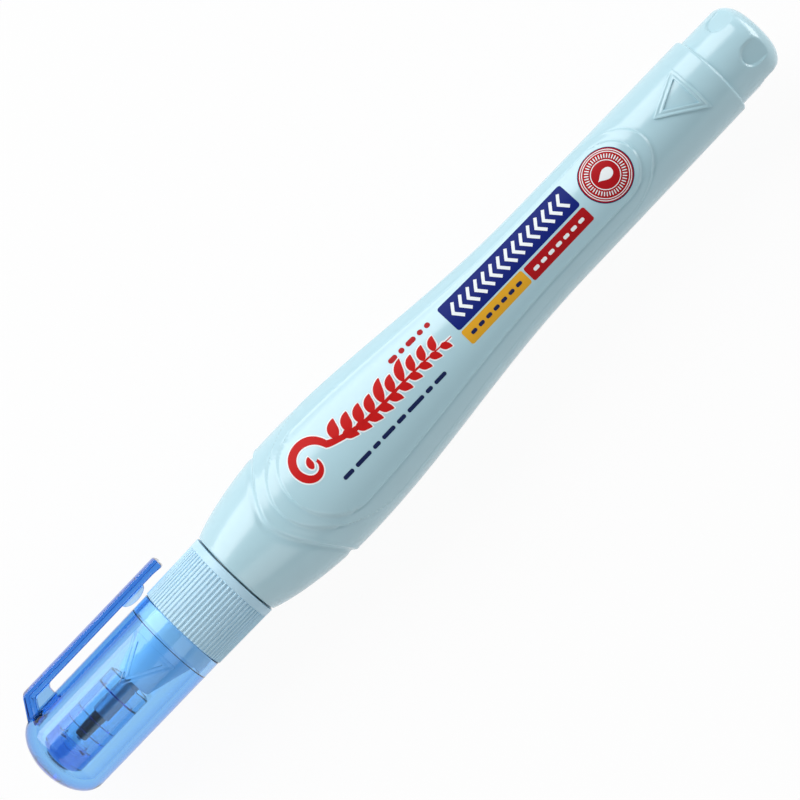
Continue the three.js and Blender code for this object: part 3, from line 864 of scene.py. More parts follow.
@dataclass
class PanelOutline:
    """A raised panel seen from above: it follows the body and has elliptical ends.

    Args:
        start: x of its front end.
        end: x of its back end.
        front_round: length of the front curve.
        back_round: length of the back curve.
        belly_half: half width at the belly.
        grip_half: half width along the grip.
        height: how far it stands above what it lies on, and the width of its sloping edge.
    """

    start: float
    end: float
    front_round: float
    back_round: float
    belly_half: float
    grip_half: float
    height: float


@dataclass
class SqueezeBottle:
    """The blown bottle: shouldered, waisted body with stepped panels, arrow mark, neck and tail."""

    datum: Datum
    body_length: float = 97.0
    shoulder_radius: float = 7.35
    shoulder_round: float = 0.35
    belly_at: float = 17.0
    belly_half_width: float = 10.07
    belly_half_depth: float = 8.7
    belly_rise: float = 0.72
    belly_ease: float = 1.1
    grip_at: float = 66.0
    grip_radius: float = 6.85
    step_radius: float = 6.7
    step_round: float = 0.4
    tail_length: float = 9.0
    tail_radius: float = 6.1
    tail_taper: float = 0.04
    tail_face_radius: float = 2.7
    tail_round: float = 3.0
    wall: float = 0.9
    neck_radius: float = 5.3
    neck_bore: float = 4.3
    bead_height: float = 0.3
    bead_at: float = -5.8
    collar_step: float = 0.25
    collar_step_at: float = 8.3
    collar_step_sweep: float = 5.7
    collar_step_bend: float = 1.6
    collar_step_edge: float = 0.5
    step_crest: tuple[float, float, float] = (0.08, 0.4, 0.25)
    step_groove: tuple[float, float, float] = (-0.17, -0.5, 0.55)
    lip: float = 0.22
    seam_height: float = 0.035
    seam_half: float = 0.22
    scallop_count: int = 5
    scallop_radius: float = 1.76
    scallop_at: float = 5.4
    scallop_depth: float = 0.5
    scallop_clocking: float = 119.0
    panels: tuple[PanelOutline, PanelOutline] = (
        PanelOutline(10.8, 83.4, 14.0, 9.0, 9.4, 5.9, 0.3),
        PanelOutline(13.3, 81.05, 7.0, 5.0, 7.05, 4.25, 0.28),
    )
    ring_zones: Sequence = ((7.0, 25.0, 0.15), (25.0, 74.0, 1.0), (74.0, 84.6, 0.15))
    zone_columns: tuple[int, ...] = (8, 8, 11, 8, 16)
    zone_reach: Pair = (14.0, 78.0)
    edge_zone: float = 0.32

    @property
    def end(self) -> float:
        """x of the tail's end face."""
        return self.body_length + self.tail_length

    def eased(self, x: np.ndarray, belly: float, grip: float, shoulder: float) -> np.ndarray:
        """Half size of the body at x: a quick rise to the belly, then a long ease to the grip.

        Args:
            x: places along the body.
            belly: half size at the belly.
            grip: half size along the grip.
            shoulder: half size at the shoulder.

        Returns:
            The half sizes.
        """
        rise = np.sin(np.clip(x / self.belly_at, 0, 1) * math.pi / 2) ** self.belly_rise
        turn = np.clip((x - self.belly_at) / (self.grip_at - self.belly_at), 0, 1)
        ease = ((1 + np.cos(math.pi * turn)) / 2) ** self.belly_ease
        slip = np.clip((x - self.grip_at) / (self.body_length - self.grip_at), 0, 1)
        front = shoulder + (belly - shoulder) * rise
        middle = grip + (belly - grip) * ease
        back = grip * (1 + (self.step_radius / self.grip_radius - 1) * slip)
        return np.where(x <= self.belly_at, front, np.where(x <= self.grip_at, middle, back))

    def half_sizes(self, x: np.ndarray) -> tuple[np.ndarray, np.ndarray]:
        """Half sizes of the plain body in y and z."""
        bellies = (self.belly_half_width, self.belly_half_depth)
        return tuple(self.eased(x, belly, self.grip_radius, self.shoulder_radius) for belly in bellies)

    def panel_half(self, panel: PanelOutline, x: np.ndarray) -> np.ndarray:
        """Half width of a panel at x, before its ends are rounded."""
        return self.eased(x, panel.belly_half, panel.grip_half, panel.belly_half)

    def within(self, panel: PanelOutline, x: np.ndarray, turn: np.ndarray) -> np.ndarray:
        """The implicit outline of a panel at x and an angle round the axis, positive inside.

        Args:
            panel: the panel.
            x: places along the pen.
            turn: angles round the axis, from +Y towards +Z.

        Returns:
            1 on the middle line, 0 on the outline, and less outside.
        """
        across = self.half_sizes(x)[0] * np.cos(turn) / self.panel_half(panel, x)
        front = np.maximum(0, (panel.start + panel.front_round - x) / panel.front_round)
        back = np.maximum(0, (x - panel.end + panel.back_round) / panel.back_round)
        return 1 - np.sqrt(across**2 + np.maximum(front, back) ** 2)

    def raised(self, panel: PanelOutline, x: np.ndarray, turn: np.ndarray) -> np.ndarray:
        """Height share of a panel: 0 outside, 1 inside, with a fine lip and a groove at its foot.

        Args:
            panel: the panel.
            x: places along the pen.
            turn: angles round the axis, from +Y towards +Z.

        Returns:
            The shares.
        """
        nudge, least_slope = 0.02, 0.02
        step = nudge / self.half_sizes(x)[0]
        slope_x = self.within(panel, x + nudge, turn) - self.within(panel, x - nudge, turn)
        slope_turn = self.within(panel, x, turn + step) - self.within(panel, x, turn - step)
        slope = np.maximum(np.hypot(slope_x, slope_turn) / (2 * nudge), least_slope)
        into = self.within(panel, x, turn) / slope / panel.height
        return smoothstep(into + 0.5) + self.lip * (hump(into, 0.65, 0.5) - hump(into, -0.8, 0.6))

    def relief(self, x: np.ndarray, turn: np.ndarray) -> np.ndarray:
        """Height of the moulded step, panels and seam over the plain body.

        Args:
            x: places along the pen.
            turn: angles round the axis, from +Y towards +Z.

        Returns:
            The heights.
        """
        x, turn = np.broadcast_arrays(np.asarray(x, float), np.asarray(turn, float))
        swept = self.collar_step_at + self.collar_step_sweep * np.abs(np.cos(turn)) ** self.collar_step_bend
        behind = smoothstep((x - swept) / self.collar_step_edge + 0.5)
        total = -self.collar_step * (1 - behind)
        for height, middle, width in (self.step_crest, self.step_groove):
            total += height * hump(x - swept, middle, width)
        for panel in self.panels:
            total += panel.height * self.raised(panel, x, turn)
        seam = hump(self.half_sizes(x)[0] * np.sin(turn), 0.0, self.seam_half) * smoothstep((x - 1) / 3)
        return total + self.seam_height * seam

    def column_angles(self, x: np.ndarray) -> np.ndarray:
        """Angles of the mesh columns at each x, with columns gathered along the panels' edges.

        Args:
            x: places of the rings.

        Returns:
            Array of rings by columns.
        """
        held = np.clip(np.atleast_1d(x), *self.zone_reach)
        wide = self.half_sizes(held)[0]
        stops = [np.zeros_like(held)]
        for panel in self.panels:
            edge = np.arccos(np.clip(self.panel_half(panel, held) / wide, -1, 1))
            stops += [edge - self.edge_zone / wide, edge + self.edge_zone / wide]
        crown = np.full_like(held, math.pi / 2)
        zones = zip(stops, [*stops[1:], crown], self.zone_columns)
        steps = [np.linspace(low, high, count, False, axis=-1) for low, high, count in zones]
        quarter = np.concatenate(steps, axis=1)
        half = np.concatenate([quarter, crown[:, None], math.pi - quarter[:, :0:-1]], axis=1)
        return np.concatenate([half, half + math.pi], axis=1)

    def body_grid(self) -> np.ndarray:
        """Rings of the visible body from the rounded shoulder to the rounded step.

        Returns:
            Array of rings by columns by 3.
        """
        start, end = self.shoulder_round, self.body_length - self.step_round
        arc = arc_steps(6)[::-1, None]
        turn = self.column_angles(np.array([start]))
        wide, deep = self.half_sizes(np.array([[start]]))
        grow = self.relief(np.full_like(turn, start), turn) - start * (1 - np.cos(arc))
        shoulder = ring_grid(start * (1 - np.sin(arc)), turn, wide + grow, deep + grow)
        front = np.linspace(start, self.ring_zones[0][0], 16, endpoint=False)[1:]
        zones = [np.arange(*zone) for zone in (*self.ring_zones, (self.ring_zones[-1][1], end, 0.7))]
        stations = np.concatenate([front, *zones, [end]])
        turn, x = self.column_angles(stations), stations[:, None]
        wide, deep = self.half_sizes(x)
        grow = self.relief(x, turn)
        body = ring_grid(x, turn, wide + grow, deep + grow)
        arc = arc_steps(6)[1:, None]
        radius = self.step_radius - self.step_round * (1 - np.cos(arc))
        step = ring_grid(end + self.step_round * np.sin(arc), turn[-1:], radius, radius)
        return np.concatenate([shoulder, body, step])

    def tail_grid(self) -> np.ndarray:
        """Rings of the tail with its scallops and the round to its end face.

        Returns:
            Array of rings by columns by 3.
        """
        first, rings, arc = self.body_length + 0.14, 32, arc_steps(24)
        rear, face = self.tail_radius - self.tail_taper, self.tail_face_radius
        fillet = np.array(((0.0, 0.12), (0.04, 0.03))) + (self.body_length, self.tail_radius)
        straight = np.column_stack(
            [
                np.linspace(first, self.end - self.tail_round, rings, endpoint=False),
                np.linspace(self.tail_radius, rear, rings, endpoint=False),
            ]
        )
        places = self.end - self.tail_round * (1 - np.sin(arc))
        dome = np.column_stack([places, face + (rear - face) * np.cos(arc)])
        flat = [(self.end, face - 0.15), (self.end, 1.2)]
        x, radius = np.vstack([fillet, straight, dome, flat]).T[..., None]
        turn = self.column_angles(np.array([self.zone_reach[1]]))
        radius = self.scalloped(x, radius, turn)
        return ring_grid(x, turn, radius, radius)

    def scalloped(self, x: np.ndarray, radius: np.ndarray, turn: np.ndarray) -> np.ndarray:
        """Radii of the tail, pressed in where the scallops are.

        Args:
            x: the rings' places.
            radius: their plain radii.
            turn: angles of their vertices, from +Y towards +Z.

        Returns:
            The pressed radii.
        """
        radius, turn = np.broadcast_arrays(radius, turn)
        ahead = np.minimum(x - self.body_length - self.scallop_at, 0.0)
        for index in range(self.scallop_count):
            facing = math.radians(self.scallop_clocking + 360 * index / self.scallop_count)
            off = (turn - facing + math.pi) % TURN - math.pi
            reach = self.scallop_radius - np.hypot(radius * np.sin(off), ahead)
            mask = smoothstep(reach / 0.2 + 0.5) * (np.abs(off) < 1.2)
            floor = (self.tail_radius - self.scallop_depth) / np.maximum(np.cos(off), 0.3)
            radius = radius + (np.minimum(radius, floor) - radius) * mask
        return radius

    def hollow_grid(self) -> np.ndarray:
        """Rings of the neck and the hollow, from the end wall inside forward to the shoulder face.

        Returns:
            Array of rings by columns by 3.
        """
        inner, end = self.tail_radius - self.wall, self.end - self.wall
        inset, ring = self.wall + self.collar_step, self.neck_radius
        rear = [(end, inner * 0.5), (end - 1, inner * 0.86), (end - 3, inner)]
        rear.append((self.body_length - self.wall, inner))
        rows = [(x, radius, radius) for x, radius in rear]
        for x in np.linspace(self.body_length - 2 * self.wall, 3.5, 26):
            rows.append((x, *(float(size) - inset for size in self.half_sizes(x))))
        bead, neck_front = self.bead_at, -NECK_LENGTH
        neck = [(self.wall, self.neck_bore), (neck_front, self.neck_bore), (neck_front, ring)]
        neck += [(bead - 0.6, ring), (bead, ring + self.bead_height), (bead + 0.6, ring)]
        rows += [(x, radius, radius) for x, radius in [*neck, (0.0, ring)]]
        x, wide, deep = np.array(rows).T[..., None]
        return ring_grid(x, self.column_angles(np.array([self.zone_reach[0]])), wide, deep)

    def lifted(self, x: np.ndarray, turn: np.ndarray, lift: np.ndarray) -> np.ndarray:
        """Points over the plain body at places, angles round the axis and lifts."""
        wide, deep = self.half_sizes(x)
        return np.column_stack([x, (wide + lift) * np.cos(turn), (deep + lift) * np.sin(turn)])

    def skin(self, x: np.ndarray, side: np.ndarray, lift: float) -> np.ndarray:
        """Points that drape over the label face.

        Args:
            x: places along the pen.
            side: distances round the face from its crown line towards the clip's side.
            lift: height over the surface.

        Returns:
            Rows of x, y, z in millimetres.
        """
        crown = self.half_sizes(x)[1] + sum(panel.height for panel in self.panels)
        turn = math.pi / 2 - side / crown
        around = ((0, 0), (0.2, 0), (-0.2, 0), (0, 0.2), (0, -0.2))
        grow = np.max([self.relief(x + ahead, turn + aside / crown) for ahead, aside in around], axis=0)
        return self.lifted(x, turn, grow + lift)

    def on_face(self, x: np.ndarray, y: np.ndarray, lift: float) -> np.ndarray:
        """Points of the label face from their x and y, lifted off the surface."""
        turn = np.arccos(y / self.half_sizes(x)[0])
        return self.lifted(x, turn, self.relief(x, turn) + lift)

    def mark(self) -> Piece:
        """Builds the raised arrow mark that points to the tip."""
        base = self.body_length - 3.85
        return ArrowMark("bottle_mark", self.datum, self.on_face, base, 0.25, apex_aside=0.6).build()

    def build(self) -> Piece:
        """Builds the hollow bottle as one closed piece."""
        grid = np.concatenate([self.hollow_grid(), self.body_grid(), self.tail_grid()])
        return poled("bottle_shell", self.datum, grid, (self.end - self.wall, self.end), sharp=50.0)


@dataclass
class TipHolder:
    """The ribbed collar, the boss that the cap snaps on, the cone and the plug, one moulding."""

    datum: Datum
    gap: float = 0.25
    collar_length: float = 10.5
    rear_radius: float = 7.25
    front_radius: float = 7.08
    band: float = 1.35
    rib_count: int = 66
    rib_radius: float = 0.21
    rib_depth: float = 0.2
    boss_length: float = 2.7
    boss_radius: float = 6.0
    boss_bead: float = 0.08
    cone_length: float = 7.55
    cone_rear: float = 4.9
    cone_front: float = 2.8
    end_wall: float = 2.2
    channel: float = 1.75
    chamber: float = 2.5
    plug_radius: float = 4.18
    plug_bore: float = 3.23
    plug_end: float = 1.0
    skirt_radius: float = 5.72
    skirt_gap: float = 0.12
    chamber_end: float = -14.2
    plug_bore_from: float = -13.2

    @property
    def collar_front(self) -> float:
        """x of the collar's front face."""
        return -self.gap - self.collar_length

    @property
    def cone_end(self) -> float:
        """x of the cone's front face."""
        return self.collar_front - self.boss_length - self.cone_length

    def core(self) -> Piece:
        """Builds the turned core of the holder.

        Returns:
            The closed core.
        """
        front, boss, valley = self.collar_front, self.boss_radius, self.front_radius - self.rib_depth
        bead, boss_front = front - 0.6 * self.boss_length, front - self.boss_length
        channel_end, skirt_end = self.cone_end + self.end_wall, -NECK_LENGTH - self.skirt_gap
        outline: Profile = [
            (-self.gap, self.skirt_radius), (-self.gap, self.rear_radius),
            (-self.gap - self.band, self.rear_radius - 0.03), (-self.gap - self.band, valley + 0.1),
            (front, valley), (front, boss), (bead + 0.5, boss), (bead, boss + self.boss_bead),
            (bead - 0.5, boss), (boss_front, boss),
            (boss_front, self.cone_rear), (self.cone_end, self.cone_front),
            (self.cone_end, self.channel), (channel_end, self.channel), (channel_end + 0.1, self.chamber),
            (self.chamber_end, self.chamber), (self.plug_bore_from, self.plug_bore),
            (self.plug_end, self.plug_bore),
            (self.plug_end, self.plug_radius),
            (skirt_end, self.plug_radius), (skirt_end, self.skirt_radius),
        ]
        fillets = {1: 0.16, 2: 0.12, 4: 0.05, 9: 0.35, 10: 0.3, 11: 0.35, 12: 0.1, 18: 0.3}
        return revolved("holder_core", self.datum, rounded(outline, fillets), 144)

    def ribs(self, material: Material) -> Piece:
        """Builds the ribs round the collar with a geometry tree.

        Args:
            material: the ribs' material.

        Returns:
            All the ribs as one piece.
        """
        sizes = {
            "Front": self.datum.shoulder_x + self.collar_front / MM,
            "Rear": self.datum.shoulder_x - (self.gap + self.band) / MM,
            "Front Radius": (self.front_radius - self.rib_radius) / MM,
            "Rear Radius": (self.rear_radius - 0.05 - self.rib_radius) / MM,
            "Rib Radius": self.rib_radius / MM,
            "Axis Height": self.datum.axis_z,
        }
        tree = CopyTree("collar_ribs", self.rib_count, sizes)
        ends = {
            "Start": tree.vector(tree.given["Front"], tree.given["Front Radius"]),
            "End": tree.vector(tree.given["Rear"], tree.given["Rear Radius"]),
        }
        line = tree.out("GeometryNodeCurvePrimitiveLine", ends)
        section = {"Resolution": 10, "Radius": tree.given["Rib Radius"]}
        section = tree.out("GeometryNodeCurvePrimitiveCircle", section)
        swept = {"Curve": line, "Profile Curve": section, "Fill Caps": True}
        bars = tree.copies(tree.out("GeometryNodeCurveToMesh", swept), tree.vector(tree.angle))
        lift = tree.vector(z=tree.given["Axis Height"])
        raised = tree.out("GeometryNodeTransform", {"Geometry": bars, "Translation": lift})
        smooth = tree.out("GeometryNodeSetShadeSmooth", {"Geometry": raised})
        return tree.piece("collar_ribs", smooth, material)


@dataclass
class ValveTip:
    """The metal tip and the needle that shows in its mouth."""

    datum: Datum
    holder: TipHolder
    shank_radius: float = 1.45
    shank_length: float = 6.5
    shank_bore: float = 0.72
    nose_rear: float = 1.1
    nose_front: float = 0.95
    nose_round: float = 0.35
    nose_length: float = 4.2
    bore: float = 1.0
    orifice: float = 0.44
    seat_from_mouth: float = 3.4
    flange_radius: float = 2.35
    flange_length: float = 0.68
    rear_from_cone: float = 4.5
    pin_radius: float = 0.36
    pin_proud: float = 0.4
    stem_radius: float = 0.68
    seal_cone: Pair = (0.18, 0.92)
    collar_from_seat: float = 5.2
    collar_radius: float = 0.9
    collar_length: float = 0.6
    guide_radius: float = 0.45
    guide_length: float = 9.7
    nose_overlap: float = 0.3
    throat_length: float = 0.55
    flange_gap: float = 0.12

    @property
    def nose_end(self) -> float:
        """x where the nose meets the shank."""
        return self.holder.cone_end - self.shank_length

    @property
    def front(self) -> float:
        """x of the tip's mouth."""
        return self.nose_end - self.nose_length

    def nose(self) -> Piece:
        """Builds the slim nose with its rounded mouth.

        Returns:
            The closed nose.
        """
        into = self.nose_end + self.nose_overlap
        outline: Profile = [
            (into, self.orifice), (self.front, self.orifice), (self.front, self.nose_front),
            (self.nose_end, self.nose_rear), (into, self.nose_rear),
        ]
        return revolved("tip_nose", self.datum, rounded(outline, {1: 0.08, 2: self.nose_round}, 8), 72)

    def tube(self) -> Piece:
        """Builds the shank with its flange and bore.

        Returns:
            The closed tube.
        """
        flange = self.holder.cone_end + self.holder.end_wall + self.flange_gap
        flange_end, rear = flange + self.flange_length, self.holder.cone_end + self.rear_from_cone
        outline: Profile = [
            (self.nose_end, self.shank_bore), (self.nose_end, self.shank_radius),
            (flange, self.shank_radius), (flange, self.flange_radius),
            (flange_end, self.flange_radius), (flange_end, self.shank_radius),
            (rear, self.shank_radius), (rear, self.bore), (self.nose_end + self.throat_length, self.bore),
        ]
        return revolved("tip_tube", self.datum, rounded(outline, {1: 0.16, 3: 0.1, 4: 0.1, 6: 0.1}), 72)

    def needle(self) -> Piece:
        """Builds the needle with its rounded pin, sealing cone, collar and guide.

        Returns:
            The closed needle.
        """
        front, seat = self.front - self.pin_proud, self.front + self.seat_from_mouth
        cone_front, cone_rear = (seat + ahead for ahead in self.seal_cone)
        collar = seat + self.collar_from_seat
        collar_front, end = collar - self.collar_length, collar + self.guide_length
        outline: Profile = [
            (front, 0.0), (front, self.pin_radius),
            (cone_front, self.pin_radius), (cone_rear, self.stem_radius),
            (collar_front, self.stem_radius), (collar_front, self.collar_radius),
            (collar, self.collar_radius), (collar, self.guide_radius),
            (end, self.guide_radius), (end, 0.0),
        ]
        return revolved("needle_pin", self.datum, rounded(outline, {1: 0.32, 8: 0.15}, 6), 48)


@dataclass
class ValveSpring:
    """The coil spring behind the needle's collar: one round wire with a closed turn at each end.

    Args:
        datum: where the pen lies.
        front: x of its front end.
        rear: x of its rear end, on the spring seat.
        radius: its outer radius.
    """

    datum: Datum
    front: float
    rear: float
    radius: float
    wire: float = 0.26
    turns: float = 8.0
    closed_pitch: float = 0.275
    press: float = 0.4

    @classmethod
    def from_frame(cls, datum: Datum) -> "ValveSpring":
        """Reads the spring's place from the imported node.

        Args:
            datum: where the pen lies.

        Returns:
            The spring.
        """
        low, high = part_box("valve_spring")
        front, rear = ((x - datum.shoulder_x) * MM for x in (low.x, high.x))
        return cls(datum, front, rear, (high.y - low.y) * MM / 2)

    def build(self) -> Piece:
        """Builds the wire as one closed piece.

        Returns:
            The wire.
        """
        turn = np.linspace(0, self.turns, int(self.turns * 32) + 1)
        run = self.rear - self.front - self.wire
        stops = (0, self.closed_pitch, run - self.closed_pitch, run)
        angle, ring = TURN * turn, np.linspace(0, TURN, 10, endpoint=False)[None, :, None]
        out = np.column_stack([np.zeros_like(turn), np.cos(angle), np.sin(angle)])
        path = out * (self.radius - self.wire / 2)
        path[:, 0] = self.front + self.wire / 2 + np.interp(turn, (0, 1, self.turns - 1, self.turns), stops)
        offsets = np.cos(ring) * out[:, None] + np.sin(ring) * np.array([1.0, 0.0, 0.0])
        return layered("valve_coil", self.datum, path[:, None] + offsets * self.wire / 2)

    def give(self, piece: Piece) -> None:
        """Gives the wire its own copy of its mesh."""
        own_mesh(piece)


@dataclass
class Cap:
    """The clear cap: domed shell, seal sleeve with ledges, arrow mark and clip, one moulding."""

    datum: Datum
    holder: TipHolder
    tip: ValveTip
    radius: float = 7.0
    dome_radius: float = 6.9
    rim_gap: float = 0.1
    mouth_radius: float = 6.15
    mouth_depth: float = 2.9
    cavity_radius: float = 5.6
    dome_length: float = 4.4
    end_thickness: float = 4.8
    cavity_wall: float = 1.4
    cavity_dome: float = 3.2
    sleeve_radius: float = 3.5
    sleeve_root_radius: float = 2.0
    sleeve_root_length: float = 0.7
    sleeve_gap: float = 0.5
    sleeve_mouth_radius: float = 2.85
    sleeve_mouth_depth: float = 2.4
    sleeve_bore: float = 2.5
    ledge_count: int = 3
    ledge_spacing: float = 2.08
    ledge_step: float = 0.17
    ledge_from_mouth: float = 6.9
    bore_end_gap: float = 2.0
    clip_clocking: float = 8.0
    clip_outer: float = 10.05
    clip_plate: float = 1.0
    clip_rib: float = 0.75
    clip_half_width: float = 2.2
    clip_rib_half_width: float = 1.9
    clip_crown: float = 0.4
    clip_overhang: float = 4.5
    clip_root_from: float = 3.5
    clip_root_length: float = 5.6
    clip_root_slant: float = 2.4
    clip_root_half_width: float = 0.9
    clip_sunk: float = 0.02
    clip_foot_depth: float = 0.6
    clip_rib_taper: float = 1.7
    clip_hook: tuple[float, float, float] = (1.8, 0.3, 0.14)
    clip_hook_inset: float = 0.05
    web_round: float = 0.9
    nub_half_length: float = 2.1
    nub_gap: float = 0.37
    nub_from_rim: float = 1.5
    nub_half_width: float = 0.6

    @property
    def rim(self) -> float:
        """x of the cap's open rim."""
        return self.holder.collar_front - self.rim_gap

    @property
    def bore_end(self) -> float:
        """x of the rounded end of the sleeve's bore."""
        return self.tip.front - self.tip.pin_proud - self.bore_end_gap

    @property
    def end(self) -> float:
        """x of the dome's outer end."""
        return self.bore_end - self.end_thickness

    def arc(self, x: float, radius: float, size: Pair, turns: np.ndarray) -> Profile:
        """Outline of a dome or a round, from its foremost x, by its length and growth in radius."""
        return [(x + size[0] * (1 - math.cos(t)), radius + size[1] * math.sin(t)) for t in turns]

    def dome(self, inset: float = 0.0) -> Profile:
        """Outline of the dome from the axis to the straight shell, drawn in by an inset."""
        size = (self.dome_length - inset, self.dome_radius - inset)
        return self.arc(self.end + inset, 0.0, size, arc_steps(26))

    def shell(self) -> Piece:
        """Builds the closed shell and its seal sleeve, from the dome round the mouth to the bore's end.

        Returns:
            The closed shell.
        """
        mouth_end, hollow_end = self.rim - self.mouth_depth, self.end + self.cavity_wall
        root_radius, root_round = self.sleeve_root_radius, self.sleeve_radius - self.sleeve_root_radius
        facing = np.linspace(math.pi / 2, math.asin(root_radius / self.cavity_radius), 18)
        outline = self.dome()
        mouth = len(outline)
        outline += [
            (self.rim, self.radius), (self.rim, self.mouth_radius), (mouth_end, self.mouth_radius),
            (mouth_end - 0.06, self.cavity_radius),
            *self.arc(hollow_end, 0.0, (self.cavity_dome, self.cavity_radius), facing),
        ]
        root = len(outline)
        root_x = hollow_end + self.sleeve_root_length
        outline += self.arc(root_x, root_radius, (root_round, root_round), arc_steps(12))
        sleeve, end = len(outline), self.holder.cone_end - self.sleeve_gap
        throat = end - self.sleeve_mouth_depth
        outline += [
            (end, self.sleeve_radius), (end, self.sleeve_mouth_radius),
            (throat, self.sleeve_mouth_radius - 0.1), (throat - 0.25, self.sleeve_bore),
        ]
        fillets = {mouth: 0.2, mouth + 1: 0.25, mouth + 2: 0.1, mouth + 3: 0.06, root - 1: 0.25}
        fillets |= {sleeve: 0.25, sleeve + 1: 0.2, sleeve + 2: 0.12, sleeve + 3: 0.15}
        radius = self.sleeve_bore
        for index in range(self.ledge_count):
            ledge = end - self.ledge_from_mouth - self.ledge_spacing * index
            outline += [(ledge, radius), (ledge - 0.15, radius - self.ledge_step)]
            radius -= self.ledge_step
        outline += self.arc(self.bore_end, 0.0, (radius, radius), arc_steps(12)[::-1])
        return revolved("cap_shell", self.datum, rounded(outline, fillets), 160)

    def on_shell(self, x: np.ndarray, y: np.ndarray, lift: float) -> np.ndarray:
        """Points over the shell's label side from their x and y, lifted off it."""
        turn, radius = np.arcsin(y / self.radius), self.radius + lift
        return np.column_stack([x, radius * np.sin(turn), radius * np.cos(turn)])

    def clip(self) -> Piece:
        """Builds the clip: crowned plate and rib that bend down as a strap, root web and nub.

        Returns:
            The closed clip, cut by the shell's form and turned to its place round the axis.
        """
        end, foot_x = self.rim + self.clip_overhang, self.end + self.clip_root_from
        top_x, rear_x = foot_x + self.clip_root_slant, foot_x + self.clip_root_length
        outer, foot = self.clip_outer, self.radius - self.clip_foot_depth
        plate_in = outer - self.clip_plate
        rib_in, under = plate_in - self.clip_rib, plate_in - 0.05
        rise = (outer - foot) / self.clip_root_slant
        strap = self.clip_plate * math.hypot(1, 1 / rise)
        inner_x, rib_x, web = foot_x + strap, foot_x + self.clip_rib_taper * strap, self.web_round
        (lead, toe, drop), hook = self.clip_hook, end - self.clip_hook_inset
        plate: Profile = [
            (end, under), (end, outer), (top_x, outer), (foot_x, foot), (inner_x, foot),
            (inner_x + (under - foot) / rise, under),
        ]
        rib: Profile = [
            (end - lead, rib_in), (end - toe, rib_in - drop), (hook, rib_in), (hook, plate_in + 0.1),
            (top_x + 0.2, plate_in + 0.1), (foot_x + 0.2, foot - 0.04), (rib_x, foot - 0.04),
            (rib_x + (rib_in - foot) / rise, rib_in),
        ]
        root: Profile = [
            (rear_x, foot - 0.09),
            *((rear_x + web * t**2, rib_in - web + web * t * (2 - t)) for t in np.linspace(0, 1, 9)),
            (rear_x + web, rib_in + 0.2), (top_x + 0.4, rib_in + 0.2), (foot_x + 0.4, foot - 0.09),
        ]
        nub_x, nub_top = self.rim - self.nub_from_rim, rib_in + 0.15
        nub_depth = rib_in - self.radius - self.nub_gap
        nub: Profile = [
            (nub_x + self.nub_half_length * math.cos(t), nub_top - (nub_depth + 0.15) * math.sin(t))
            for t in np.linspace(0, math.pi, 25)
        ]
        side = rounded([*plate, plate[0]], {1: 0.45, 2: 0.8, 5: 0.8}, 8)[:-1]
        softened = rounded([*rib, rib[0]], {7: 0.8}, 6)[:-1]
        crowned = extruded("clip_plate", self.datum, side, self.clip_half_width, self.clip_crown, plate_in)
        clip = joined(
            bevelled(crowned, 0.3, 5),
            [
                bevelled(extruded("clip_rib", self.datum, softened, self.clip_rib_half_width), 0.38),
                bevelled(extruded("clip_root", self.datum, root, self.clip_root_half_width), 0.15),
                bevelled(extruded("clip_nub", self.datum, nub, self.nub_half_width), 0.12, 2),
            ],
        )
        within = self.dome(self.clip_sunk) + [(self.rim, self.radius - self.clip_sunk), (self.rim, 0.0)]
        clip = joined(clip, [revolved("cap_core", self.datum, within, 160)], cut=True)
        clip.name = "clear_clip"
        crisp(clip.data, 35.0)
        pivot = Vector((0, 0, self.datum.axis_z))
        turn = Matrix.Rotation(math.radians(self.clip_clocking), 4, "X")
        clip.data.transform(Matrix.Translation(pivot) @ turn @ Matrix.Translation(-pivot))
        return clip

    def build(self) -> Piece:
        """Joins the shell and the raised arrow frame on it as one closed cap.

        Returns:
            The cap.
        """
        base = self.rim - self.mouth_depth - 1.2
        cap = joined(self.shell(), [ArrowMark("cap_mark", self.datum, self.on_shell, base, 0.14).build()])
        cap.name = "clear_cap"
        crisp(cap.data, 35.0)
        return cap


